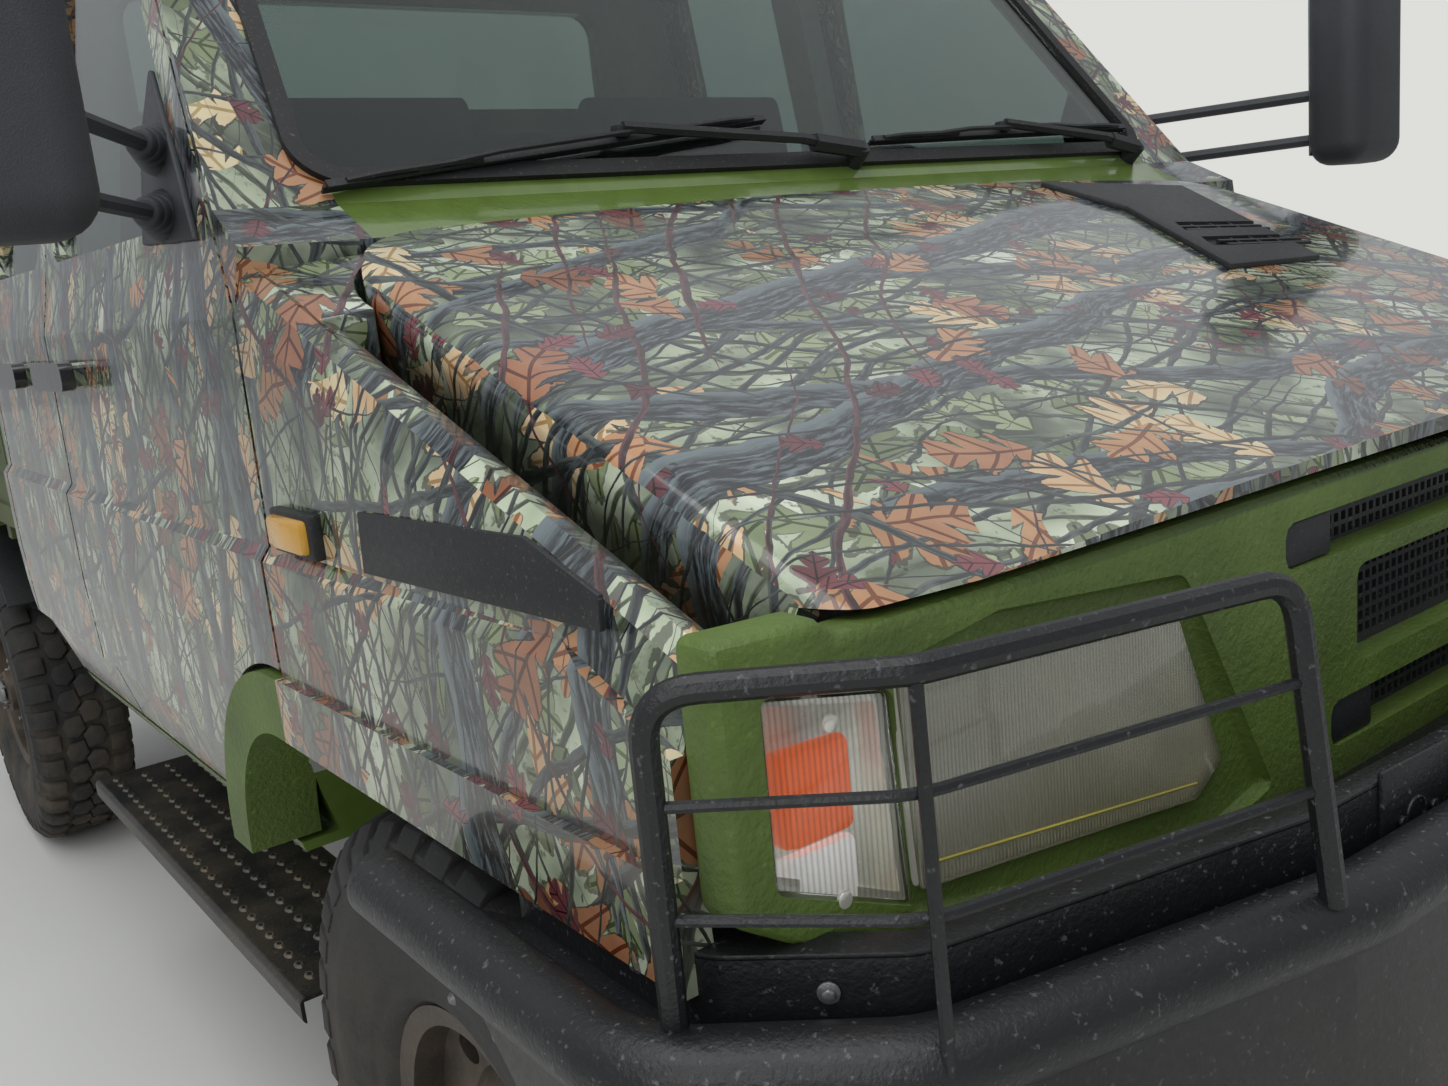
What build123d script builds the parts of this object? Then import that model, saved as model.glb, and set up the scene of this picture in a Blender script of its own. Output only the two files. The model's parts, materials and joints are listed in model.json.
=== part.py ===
from build123d import *
import os
from math import cos, hypot, radians, sin

# Light four-wheel-drive truck: a four-door cab ahead of a drop-side cargo bed, on a ladder frame.
# X runs to the vehicle's left, Y to its rear and Z up. The origin is on the ground, under the middle.
# A station is a distance behind the front axle, and every length is in millimetres.

# Overall layout
WHEELBASE = 2950
FRONT_OVERHANG = 850
REAR_OVERHANG = 1100
FRONT_AXLE_Y = -(WHEELBASE + REAR_OVERHANG - FRONT_OVERHANG) / 2
REAR_STATION = WHEELBASE + REAR_OVERHANG
DOOR_GAP = 8
POCKET_GAP = 10
SEAT_GAP = 0.3

# Wheels and tyres
WHEEL_X = 827
TYRE_RADIUS = 445
TYRE_HALF_WIDTH = 125
RIM_RADIUS = 203
FLANGE_RADIUS = 222
RIM_HALF_WIDTH = 98
SPINDLE_RADIUS = 30
HUB_BORE_RADIUS = 30.5
HUB_FACE = 62

# Ladder frame
RAIL_INNER = 345
RAIL_OUTER = 415
RAIL_BOTTOM = 650
RAIL_TOP = 790
RAIL_WALL = 8
RAIL_FRONT = -640
CROSS_TUBE_RADIUS = 30
CROSS_TUBE_STATIONS = (-520, 330, 860, 1245, 1900, 2500, 3420)

# Springs and axles
SPRING_X = 380
SPRING_HALF_WIDTH = 30
SPRING_REACH = 480
SPRING_EYE_Z = 600
SPRING_EYE_RADIUS = 24
SPRING_SEAT_Z = 490
LEAF = 11
LEAF_LENGTHS = (480, 430, 340, 250, 160)
SHACKLE_PIN = 10
AXLE_TUBE_RADIUS = 45
KINGPIN_X = 720
KINGPIN_RADIUS = 15
KINGPIN_CLEARANCE = 0.3
YOKE_HALF_HEIGHT = 75
YOKE_ARM = 18
YOKE_BACK = 71
YOKE_TIP = 24
YOKE_HALF_WIDTH = 28
DISC_RADIUS = 150

# Cab body: half section as (half width, height), from the sill up to the roof's edge
CAB_SECTION = (
    (925, 720),
    (962, 845),
    (978, 862),
    (985, 1010),
    (985, 1160),
    (973, 1176),
    (970, 1430),
    (955, 1500),
    (800, 2395),
)
ROOF_TOP = 2432
ROOF_EDGE_RADIUS = 125
CAB_FRONT = 230
CAB_REAR = 1880
CAB_BOTTOM = 720
SCUTTLE_Z = 1502
SCREEN_BASE = (320, 1549)
SCREEN_TOP = (985, 2391)
ROOF_FRONT = 1150
CAB_WALL = 45
TUNNEL_HALF_WIDTH = 430
FLOOR_TOP = 830
PILLAR_STRIP = 20
B_PILLAR_DEPTH = 60

# Doors
DOOR_FRONT = 238
DOOR_BOTTOM = 742
DOOR_TOP = 2262
DOOR_SPLIT = 1257
B_PILLAR = (DOOR_SPLIT - 45, DOOR_SPLIT + 45)
REAR_DOOR_BACK = 1835
BELT_Z = 1505
DOOR_LEAN = 24
WINDOW_SILL = 1545
WINDOW_TOP = 2200
WINDOW_BORDER = 62
HINGE_INSET = 18
HINGE_X = 975
HINGE_RADIUS = 6
HINGE_HEIGHT = 40
HINGE_LEAF = 4
HINGE_HEIGHTS = (1062, 1130)
GLASS = 6
GLASS_INSET = 18
HANDLE_Z = 1365

# Wheel arch, as a station and a height of its upper rear corner
ARCH_BACK = 455
ARCH_TOP = 950
ARCH_CORNER = 200
LIP_WIDTH = 75
LIP_STAND = 9
WELL_BACK = 600

# Wings and bonnet, which fall forward along one slope
NOSE_FRONT = -600
WING_FRONT = -550
BONNET_SLOPE = 0.385
RIDGE_Z = 1480
RIDGE_X = 938
GUTTER_X = 872
GUTTER_DROP = 72
WING_WALL = 18
BONNET_HALF_WIDTH = 866
BONNET_Z = 1528
BONNET_EDGE = 42
BONNET_WALL = 20
BONNET_DEPTH = 118
BONNET_CROWN = 14
BONNET_AXIS = (CAB_FRONT - DOOR_GAP / 2, SCUTTLE_Z - 5)
BONNET_HINGE_X = 450
BONNET_HINGE_LENGTH = 120

# Front panel and grille
PANEL_DEPTH = 46
PANEL_TOP = 1184
PANEL_HALF_WIDTH = 950

# Bumper
BUMPER_TUBE = 48
BUMPER_Z = 905

# Cargo bed
BED_FRONT = 1990
BED_REAR = REAR_STATION
BED_HALF_WIDTH = 955
BEARER_TOP = 960
BEARER_HALF_WIDTH = 35
CROSS_BEARER_TOP = 1010
BEARER_PITCH = 310
DECK_TOP = 1040
BOARD_TOP = 1440
BOARD_THICK = 30
HEADBOARD_TOP = 1900

SIDES = {"left": 1, "right": -1}


def at(station):
    """Y of a station behind the front axle."""
    return FRONT_AXLE_Y + station


def across(station):
    """Sketch plane across the vehicle: local X is X, local Y is Z, and it faces forward."""
    return Plane(origin=(0, at(station), 0), x_dir=(1, 0, 0), z_dir=(0, -1, 0))


def along(x):
    """Sketch plane along the vehicle: local X is the station, local Y is Z, and it faces left."""
    return Plane(origin=(x, FRONT_AXLE_Y, 0), x_dir=(0, 1, 0), z_dir=(1, 0, 0))


def level(z):
    """Sketch plane that lies flat at height z: local X is X, local Y is the station."""
    return Plane(origin=(0, FRONT_AXLE_Y, z), x_dir=(1, 0, 0), z_dir=(0, 0, 1))


def finish(piece, name):
    """Label a finished piece and write it under its node's name."""
    piece.part.label = name
    export_step(piece.part, f"parts/{name}.step")


def both_sides(piece, name):
    """Write the left piece and its mirror image on the right."""
    finish(piece, f"{name}_left")
    with BuildPart() as other:
        mirror(piece.part, about=Plane.YZ)
    finish(other, f"{name}_right")


def body_outline(inset):
    """Half section of the cab's skin, moved inward by inset: the corner points of one side."""
    (belt_width, belt_height), (roof_width, roof_height) = CAB_SECTION[-2:]
    lean = (belt_width - roof_width) / (roof_height - belt_height)
    side = [(width - inset, height) for width, height in CAB_SECTION[:-1]]
    return side + [(roof_width - inset * (1 - lean), roof_height - inset)]


def body_prism(inset, front=-900, back=CAB_REAR + 200):
    """The cab's skin as a long solid, moved inward by inset, to cut panels out of."""
    half = body_outline(inset)
    low = [(half[0][0], CAB_BOTTOM - 200)] + half
    with BuildPart() as prism:
        with BuildSketch(across(back)) as section:
            with BuildLine():
                side = Polyline(*low)
                ThreePointArc(low[-1], (0, ROOF_TOP - inset), (-low[-1][0], low[-1][1]))
                mirror(side, about=Plane.YZ)
                Line(low[0], (-low[0][0], low[0][1]))
            make_face()
            fillet(section.vertices().sort_by(Axis.Y)[-2:], ROOF_EDGE_RADIUS - inset)
        extrude(amount=back - front)
    return prism.part


def side_prism(points, x_from, x_to, corners=()):
    """A side outline of (station, height) points, extruded across the vehicle.

    corners lists (point number, radius) pairs to round."""
    with BuildPart() as prism:
        with BuildSketch(along(x_from)) as outline:
            with BuildLine():
                Polyline(*points, close=True)
            make_face()
            for number, radius in corners:
                corner = outline.vertices().sort_by_distance(Vector(*points[number]))[0]
                fillet(corner, radius)
        extrude(amount=x_to - x_from)
    return prism.part


def screen_station(height):
    """Station of the windscreen's outer plane at a height."""
    slope = (SCREEN_TOP[0] - SCREEN_BASE[0]) / (SCREEN_TOP[1] - SCREEN_BASE[1])
    return SCREEN_BASE[0] + slope * (height - SCREEN_BASE[1])


def rear_edge(height, back):
    """Station of a door's rear edge: upright to the belt, then leaning forward."""
    return back - DOOR_LEAN * max(0, height - BELT_Z) / (DOOR_TOP - BELT_Z)


def arch_prism(grow, x_from, x_to):
    """The wheel opening in side view, grown by grow, as a solid."""
    corner = (ARCH_BACK + grow, ARCH_TOP + grow)
    points = [(-1000, CAB_BOTTOM - 250), (corner[0], CAB_BOTTOM - 250), corner, (-1000, corner[1])]
    return side_prism(points, x_from, x_to, corners=[(2, ARCH_CORNER + grow)])


def front_door_outline(grow):
    """Front door in side view, grown by grow on every edge."""
    top = DOOR_TOP + grow
    return [
        (DOOR_FRONT - grow, DOOR_BOTTOM - grow),
        (DOOR_SPLIT - DOOR_GAP / 2 + grow, DOOR_BOTTOM - grow),
        (DOOR_SPLIT - DOOR_GAP / 2 + grow, BELT_Z),
        (rear_edge(DOOR_TOP, DOOR_SPLIT - DOOR_GAP / 2) + grow, top),
        (screen_station(top) + PILLAR_STRIP - grow, top),
        (screen_station(BELT_Z) + PILLAR_STRIP - grow, BELT_Z),
        (DOOR_FRONT - grow, BELT_Z - 70),
    ]


def rear_door_outline(grow):
    """Rear door in side view, grown by grow on every edge."""
    top = DOOR_TOP + grow
    front = DOOR_SPLIT + DOOR_GAP / 2 - grow
    return [
        (front, DOOR_BOTTOM - grow),
        (REAR_DOOR_BACK - 90 + grow, DOOR_BOTTOM - grow),
        (REAR_DOOR_BACK + grow, DOOR_BOTTOM + 130),
        (REAR_DOOR_BACK + grow, BELT_Z),
        (rear_edge(DOOR_TOP, REAR_DOOR_BACK) + grow, top),
        (front - DOOR_LEAN, top),
        (front, BELT_Z),
    ]


def hinge(edge, side, height, clearance):
    """Door hinge behind a door's front edge: a barrel on the axis and a leaf inboard to the pillar."""
    axis = edge + HINGE_INSET
    pillar = CAB_SECTION[3][0] - CAB_WALL - POCKET_GAP
    leaf_half = HINGE_LEAF / 2 + (DOOR_GAP / 2 + 1 if clearance else 0)
    front = edge - DOOR_GAP if clearance else axis - leaf_half
    with BuildPart() as solid:
        with BuildSketch(level(height - HINGE_HEIGHT / 2 - clearance)):
            with Locations((side * HINGE_X, axis)):
                Circle(HINGE_RADIUS + clearance)
            with Locations((side * (pillar + HINGE_X) / 2, (front + axis + leaf_half) / 2)):
                Rectangle(HINGE_X - pillar, axis + leaf_half - front)
        extrude(amount=HINGE_HEIGHT + 2 * clearance)
    return solid.part


os.makedirs("parts", exist_ok=True)

SKIN = body_prism(0)
LINING = body_prism(CAB_WALL)
DOOR_POCKET = body_prism(CAB_WALL + POCKET_GAP)

# Ladder frame: two channel rails with cross tubes, spring hangers and a rear towing beam
HANGER_STATIONS = [axle + end for axle in (0, WHEELBASE) for end in (-SPRING_REACH, SPRING_REACH)]
HANGER_WALL = 9
RAIL_REAR = REAR_STATION - 50
TOW_HOLE_RADIUS = 8.5
TOW_SPACING = (160, 90)

with BuildPart() as ladder_frame:
    for side in SIDES.values():
        web, flange = side * RAIL_OUTER, side * RAIL_INNER
        with BuildSketch(across(RAIL_REAR)):
            with Locations(((web + flange) / 2, (RAIL_BOTTOM + RAIL_TOP) / 2)):
                Rectangle(RAIL_OUTER - RAIL_INNER, RAIL_TOP - RAIL_BOTTOM)
            with Locations(((web + flange) / 2 - side * RAIL_WALL, (RAIL_BOTTOM + RAIL_TOP) / 2)):
                Rectangle(
                    RAIL_OUTER - RAIL_INNER, RAIL_TOP - RAIL_BOTTOM - 2 * RAIL_WALL, mode=Mode.SUBTRACT
                )
        extrude(amount=RAIL_REAR - RAIL_FRONT)
    for tube_station in CROSS_TUBE_STATIONS:
        with BuildSketch(along(-RAIL_OUTER + RAIL_WALL)):
            with Locations((tube_station, (RAIL_BOTTOM + RAIL_TOP) / 2)):
                Circle(CROSS_TUBE_RADIUS)
        extrude(amount=2 * (RAIL_OUTER - RAIL_WALL))
    for side in SIDES.values():
        for wall in (-1, 1):
            inner = side * SPRING_X + wall * (SPRING_HALF_WIDTH + SEAT_GAP)
            for hanger in HANGER_STATIONS:
                with BuildSketch(along(min(inner, inner + wall * HANGER_WALL))):
                    with Locations((hanger, SPRING_EYE_Z)):
                        Circle(SPRING_EYE_RADIUS + 4)
                    with Locations((hanger, (SPRING_EYE_Z + RAIL_BOTTOM + 10) / 2)):
                        Rectangle(2 * SPRING_EYE_RADIUS + 8, RAIL_BOTTOM + 10 - SPRING_EYE_Z)
                extrude(amount=HANGER_WALL)
        for hanger in HANGER_STATIONS:
            pin_reach = SPRING_HALF_WIDTH + HANGER_WALL
            with BuildSketch(along(side * SPRING_X - pin_reach)):
                with Locations((hanger, SPRING_EYE_Z)):
                    Circle(SHACKLE_PIN)
            extrude(amount=2 * pin_reach)
    with BuildSketch(across(RAIL_REAR + 40)):
        with Locations((0, (RAIL_BOTTOM + RAIL_TOP) / 2)):
            RectangleRounded(2 * RAIL_OUTER, RAIL_TOP - RAIL_BOTTOM, 12)
            with GridLocations(*TOW_SPACING, 2, 2):
                Circle(TOW_HOLE_RADIUS, mode=Mode.SUBTRACT)
    extrude(amount=40)
finish(ladder_frame, "ladder_frame")


def spring(axle, side):
    """Leaf spring over an axle: leaves stacked under the main one, with an eye at each end."""
    rise = SPRING_EYE_Z - SPRING_SEAT_Z - len(LEAF_LENGTHS) * LEAF
    main_z = SPRING_SEAT_Z + len(LEAF_LENGTHS) * LEAF
    radius = (SPRING_REACH**2 + rise**2) / (2 * rise)
    with BuildPart() as pack:
        for number, reach in enumerate(LEAF_LENGTHS):
            outer, inner = radius + number * LEAF, radius + (number + 1) * LEAF
            half = reach if number else reach - 8
            with BuildSketch(along(side * SPRING_X - SPRING_HALF_WIDTH)):
                with BuildLine():
                    points = []
                    for arc_radius in (outer, inner):
                        lift = arc_radius - (arc_radius**2 - half**2) ** 0.5
                        base = main_z + radius - arc_radius
                        points.append(((axle - half, base + lift), (axle, base), (axle + half, base + lift)))
                    ThreePointArc(*points[0])
                    ThreePointArc(*points[1])
                    Line(points[0][0], points[1][0])
                    Line(points[0][2], points[1][2])
                make_face()
            extrude(amount=2 * SPRING_HALF_WIDTH)
        for end in (-SPRING_REACH, SPRING_REACH):
            with BuildSketch(along(side * SPRING_X - SPRING_HALF_WIDTH)):
                with Locations((axle + end, SPRING_EYE_Z)):
                    Circle(SPRING_EYE_RADIUS)
            extrude(amount=2 * SPRING_HALF_WIDTH)
        for end in (-SPRING_REACH, SPRING_REACH):
            with BuildSketch(along(side * SPRING_X - SPRING_HALF_WIDTH)):
                with Locations((axle + end, SPRING_EYE_Z)):
                    Circle(SHACKLE_PIN + SEAT_GAP)
            extrude(amount=2 * SPRING_HALF_WIDTH, mode=Mode.SUBTRACT)
    return pack.part


def axle_beam(axle, half_length):
    """Axle tube with its drive housing and the seats that its springs lie on."""
    housing_x = 0
    with BuildPart() as beam:
        with BuildSketch(along(-half_length)):
            with Locations((axle, TYRE_RADIUS)):
                Circle(AXLE_TUBE_RADIUS)
        extrude(amount=2 * half_length)
        with BuildSketch(along(housing_x)):
            with BuildLine():
                Line((axle, TYRE_RADIUS - 135), (axle, TYRE_RADIUS + 135))
                ThreePointArc((axle, TYRE_RADIUS - 135), (axle + 135, TYRE_RADIUS), (axle, TYRE_RADIUS + 135))
            make_face()
        revolve(axis=Axis((housing_x, at(axle), TYRE_RADIUS), (0, 0, 1)))
        for side in SIDES.values():
            with BuildSketch(level(TYRE_RADIUS)):
                with Locations((side * SPRING_X, axle)):
                    Rectangle(2 * SPRING_HALF_WIDTH + 14, 120)
            extrude(amount=SPRING_SEAT_Z - TYRE_RADIUS)
    return beam.part


# Front axle: beam, springs and the yokes that hold the kingpins
with BuildPart() as front_axle:
    add(axle_beam(0, KINGPIN_X - 62))
    for side in SIDES.values():
        with BuildSketch(across(YOKE_HALF_WIDTH)):
            with Locations((side * (KINGPIN_X - YOKE_BACK + 17), TYRE_RADIUS)):
                Rectangle(34, 2 * YOKE_HALF_HEIGHT + 2 * YOKE_ARM)
            for end in (-1, 1):
                arm_z = TYRE_RADIUS + end * (YOKE_HALF_HEIGHT + YOKE_ARM / 2)
                with Locations((side * (KINGPIN_X + (YOKE_TIP - YOKE_BACK) / 2), arm_z)):
                    Rectangle(YOKE_TIP + YOKE_BACK, YOKE_ARM)
        extrude(amount=2 * YOKE_HALF_WIDTH)
        with BuildSketch(level(TYRE_RADIUS - YOKE_HALF_HEIGHT - YOKE_ARM)):
            with Locations((side * KINGPIN_X, 0)):
                Circle(KINGPIN_RADIUS)
        extrude(amount=2 * (YOKE_HALF_HEIGHT + YOKE_ARM))
        add(spring(0, side))
finish(front_axle, "front_axle")

# Rear axle: beam out to the wheels, with its springs and spindles
with BuildPart() as rear_axle:
    add(axle_beam(WHEELBASE, WHEEL_X - 90))
    with BuildSketch(along(-WHEEL_X - HUB_FACE)):
        with Locations((WHEELBASE, TYRE_RADIUS)):
            Circle(SPINDLE_RADIUS)
    extrude(amount=2 * (WHEEL_X + HUB_FACE))
    for side in SIDES.values():
        add(spring(WHEELBASE, side))
finish(rear_axle, "rear_axle")

# Knuckle: a barrel on the kingpin, a backing plate and the spindle that the wheel turns on
with BuildPart() as knuckle:
    with BuildSketch(level(TYRE_RADIUS - YOKE_HALF_HEIGHT + 5)):
        with Locations((KINGPIN_X, 0)):
            Circle(32)
    extrude(amount=2 * (YOKE_HALF_HEIGHT - 5))
    with BuildSketch(along(KINGPIN_X + 20)):
        with Locations((0, TYRE_RADIUS)):
            Circle(40)
    extrude(amount=WHEEL_X - 62 - KINGPIN_X - 20)
    with BuildSketch(along(WHEEL_X - 66)):
        with Locations((0, TYRE_RADIUS)):
            Circle(DISC_RADIUS)
    extrude(amount=8)
    with BuildSketch(along(WHEEL_X - 62)):
        with Locations((0, TYRE_RADIUS)):
            Circle(SPINDLE_RADIUS)
    extrude(amount=62 + HUB_FACE)
    with BuildSketch(level(TYRE_RADIUS - YOKE_HALF_HEIGHT)):
        with Locations((KINGPIN_X, 0)):
            Circle(KINGPIN_RADIUS + KINGPIN_CLEARANCE)
    extrude(amount=2 * YOKE_HALF_HEIGHT, mode=Mode.SUBTRACT)
both_sides(knuckle, "knuckle")

# Wheels: tyre and rim turned about the axle, at each end of both axles
WHEELS = {
    "front_left": (0, 1),
    "front_right": (0, -1),
    "rear_left": (WHEELBASE, 1),
    "rear_right": (WHEELBASE, -1),
}
RIM_WALL = 7
DISC_X = 42
VENTS = 8


def wheel_axis(axle):
    return Axis((0, at(axle), TYRE_RADIUS), (1, 0, 0))


def turned(axle, points, side):
    """Turn a closed profile about an axle. Points are (distance outward from the wheel's middle, radius)."""
    centre = (side * WHEEL_X, at(axle), TYRE_RADIUS)
    with BuildPart() as ring:
        with BuildSketch(Plane(origin=centre, x_dir=(side, 0, 0), z_dir=(0, -side, 0))):
            with BuildLine():
                Polyline(*points, close=True)
            make_face()
        revolve(axis=wheel_axis(axle))
    return ring.part


TYRE_PROFILE = (
    (-RIM_HALF_WIDTH + 9, RIM_RADIUS + SEAT_GAP),
    (-RIM_HALF_WIDTH + 5, FLANGE_RADIUS + 1),
    (-RIM_HALF_WIDTH - 6, FLANGE_RADIUS + 10),
    (-TYRE_HALF_WIDTH + 6, 275),
    (-TYRE_HALF_WIDTH, 335),
    (-TYRE_HALF_WIDTH + 4, 400),
    (-TYRE_HALF_WIDTH + 22, TYRE_RADIUS - 8),
    (-TYRE_HALF_WIDTH + 45, TYRE_RADIUS),
)

for name, (axle, side) in WHEELS.items():
    mirrored_profile = [(-x, radius) for x, radius in reversed(TYRE_PROFILE)]
    with BuildPart() as tyre:
        add(turned(axle, list(TYRE_PROFILE) + mirrored_profile, side))
    finish(tyre, f"tyre_{name}")

    rim_profile = [
        (-RIM_HALF_WIDTH, RIM_RADIUS - RIM_WALL),
        (-RIM_HALF_WIDTH - 6, FLANGE_RADIUS),
        (-RIM_HALF_WIDTH + 4, FLANGE_RADIUS),
        (-RIM_HALF_WIDTH + 8, RIM_RADIUS),
        (RIM_HALF_WIDTH - 8, RIM_RADIUS),
        (RIM_HALF_WIDTH - 4, FLANGE_RADIUS),
        (RIM_HALF_WIDTH + 6, FLANGE_RADIUS),
        (RIM_HALF_WIDTH, RIM_RADIUS - RIM_WALL),
        (DISC_X + 16, RIM_RADIUS - RIM_WALL),
        (DISC_X + 6, 130),
        (HUB_FACE + 4, 112),
        (HUB_FACE + 4, 62),
        (HUB_FACE + 50, 58),
        (HUB_FACE + 56, 50),
        (HUB_FACE + 56, 0),
        (HUB_FACE + 6, 0),
        (HUB_FACE + 6, HUB_BORE_RADIUS),
        (-40, HUB_BORE_RADIUS),
        (-40, 60),
        (HUB_FACE - 12, 66),
        (HUB_FACE - 12, 108),
        (DISC_X - 6, 126),
        (DISC_X - 2, RIM_RADIUS - RIM_WALL),
    ]
    with BuildPart() as rim:
        add(turned(axle, rim_profile, side))
        vent_plane = Plane(origin=(0, at(axle), TYRE_RADIUS), x_dir=(0, 1, 0), z_dir=(1, 0, 0))
        with BuildSketch(vent_plane.offset(side * WHEEL_X - 110)):
            with PolarLocations(160, VENTS):
                Circle(20)
        extrude(amount=220, mode=Mode.SUBTRACT)
    finish(rim, f"rim_{name}")

# Engine and radiator: a plain block at the engine's place, on lugs over the rails
with BuildPart() as engine:
    with BuildSketch(level(600)):
        with Locations((0, -120)):
            RectangleRounded(560, 620, 60)
    extrude(amount=480)
    with BuildSketch(level(RAIL_TOP)):
        with Locations((0, -120)):
            Rectangle(2 * RAIL_OUTER - 10, 120)
    extrude(amount=50)
finish(engine, "engine")

with BuildPart() as radiator:
    with BuildSketch(level(RAIL_TOP)):
        with Locations((0, -515)):
            Rectangle(2 * RAIL_OUTER - 20, 60)
    extrude(amount=350)
finish(radiator, "radiator")

# Driveline: transfer case hung under two cross tubes, with shafts to both axles
with BuildPart() as driveline:
    with BuildSketch(level(520)):
        with Locations((0, 1052)):
            RectangleRounded(300, 300, 50)
    extrude(amount=(RAIL_BOTTOM + RAIL_TOP) / 2 - CROSS_TUBE_RADIUS - 520 - SEAT_GAP)
    with BuildSketch(level((RAIL_BOTTOM + RAIL_TOP) / 2 - CROSS_TUBE_RADIUS - 20 - SEAT_GAP)):
        with Locations((0, 1052)):
            Rectangle(160, 430)
    extrude(amount=20)
    for start, end in ((1202, WHEELBASE - 140), (902, 140)):
        with BuildSketch(Plane(origin=(0, at(start), 590), z_dir=(0, end - start, TYRE_RADIUS - 590))):
            Circle(34)
        extrude(amount=hypot(end - start, TYRE_RADIUS - 590))
finish(driveline, "driveline")

# Fuel tank under the left rail
TANK = (290, 225, 500)
TANK_FRONT = 1330
with BuildPart() as fuel_tank:
    with BuildSketch(across(TANK_FRONT + TANK[2])):
        with Locations((RAIL_OUTER + TANK[0] / 2, CAB_BOTTOM - 15 - TANK[1] / 2)):
            RectangleRounded(TANK[0], TANK[1], 45)
    extrude(amount=TANK[2])
    fillet(fuel_tank.faces().sort_by(Axis.Y)[-1].edges(), 18)
    fillet(fuel_tank.faces().sort_by(Axis.Y)[0].edges(), 18)
    for strap in (0.2, 0.8):
        with BuildSketch(across(TANK_FRONT + strap * TANK[2] + 20)):
            with Locations((RAIL_OUTER + 30, (CAB_BOTTOM - 8 + RAIL_BOTTOM) / 2)):
                Rectangle(60, CAB_BOTTOM - 8 - RAIL_BOTTOM)
        extrude(amount=40)
finish(fuel_tank, "fuel_tank")

# Cab shell: floor, scuttle, roof, back wall and pillars, with the doorways cut through its sides
CAB_PROFILE = [
    (CAB_FRONT, CAB_BOTTOM),
    (CAB_FRONT, SCUTTLE_Z),
    SCREEN_BASE,
    SCREEN_TOP,
    (ROOF_FRONT, ROOF_TOP + 10),
    (CAB_REAR, ROOF_TOP + 10),
    (CAB_REAR, CAB_BOTTOM + 180),
    (CAB_REAR - 150, CAB_BOTTOM),
]
CAB_ROOM = [
    (CAB_FRONT + CAB_WALL, FLOOR_TOP),
    (CAB_FRONT + CAB_WALL, SCUTTLE_Z - CAB_WALL),
    (SCREEN_BASE[0] + CAB_WALL, SCREEN_BASE[1] - CAB_WALL / 2),
    (SCREEN_TOP[0] + CAB_WALL, SCREEN_TOP[1] - CAB_WALL / 2),
    (SCREEN_TOP[0] + 2 * CAB_WALL, ROOF_TOP - CAB_WALL),
    (CAB_REAR - CAB_WALL, ROOF_TOP - CAB_WALL),
    (CAB_REAR - CAB_WALL, FLOOR_TOP),
]
HALF = 1200
SCREEN_PLANE = Plane(
    origin=(0, at(SCREEN_BASE[0]), SCREEN_BASE[1]),
    x_dir=(1, 0, 0),
    z_dir=(0, SCREEN_BASE[1] - SCREEN_TOP[1], SCREEN_TOP[0] - SCREEN_BASE[0]),
)
SCREEN_LENGTH = hypot(SCREEN_TOP[0] - SCREEN_BASE[0], SCREEN_TOP[1] - SCREEN_BASE[1])
SCREEN_BORDER_LOW = 24
SCREEN_BORDER_HIGH = 118
SCREEN_HALF_LOW = 842
SCREEN_HALF_HIGH = 742
SCREEN_CORNER = 70
SEAL_WIDTH = 26
REAR_WINDOW = (1180, 430, 1900)


def screen_face(inset):
    """Windscreen outline on its own plane, moved inward by inset."""
    low, high = SCREEN_BORDER_LOW + inset, SCREEN_LENGTH - SCREEN_BORDER_HIGH - inset
    half_low, half_high = SCREEN_HALF_LOW - inset, SCREEN_HALF_HIGH - inset
    with BuildSketch(SCREEN_PLANE) as face:
        with BuildLine():
            Polyline((-half_low, low), (half_low, low), (half_high, high), (-half_high, high), close=True)
        make_face()
        fillet(face.vertices(), SCREEN_CORNER - inset)
    return face.sketch


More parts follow.
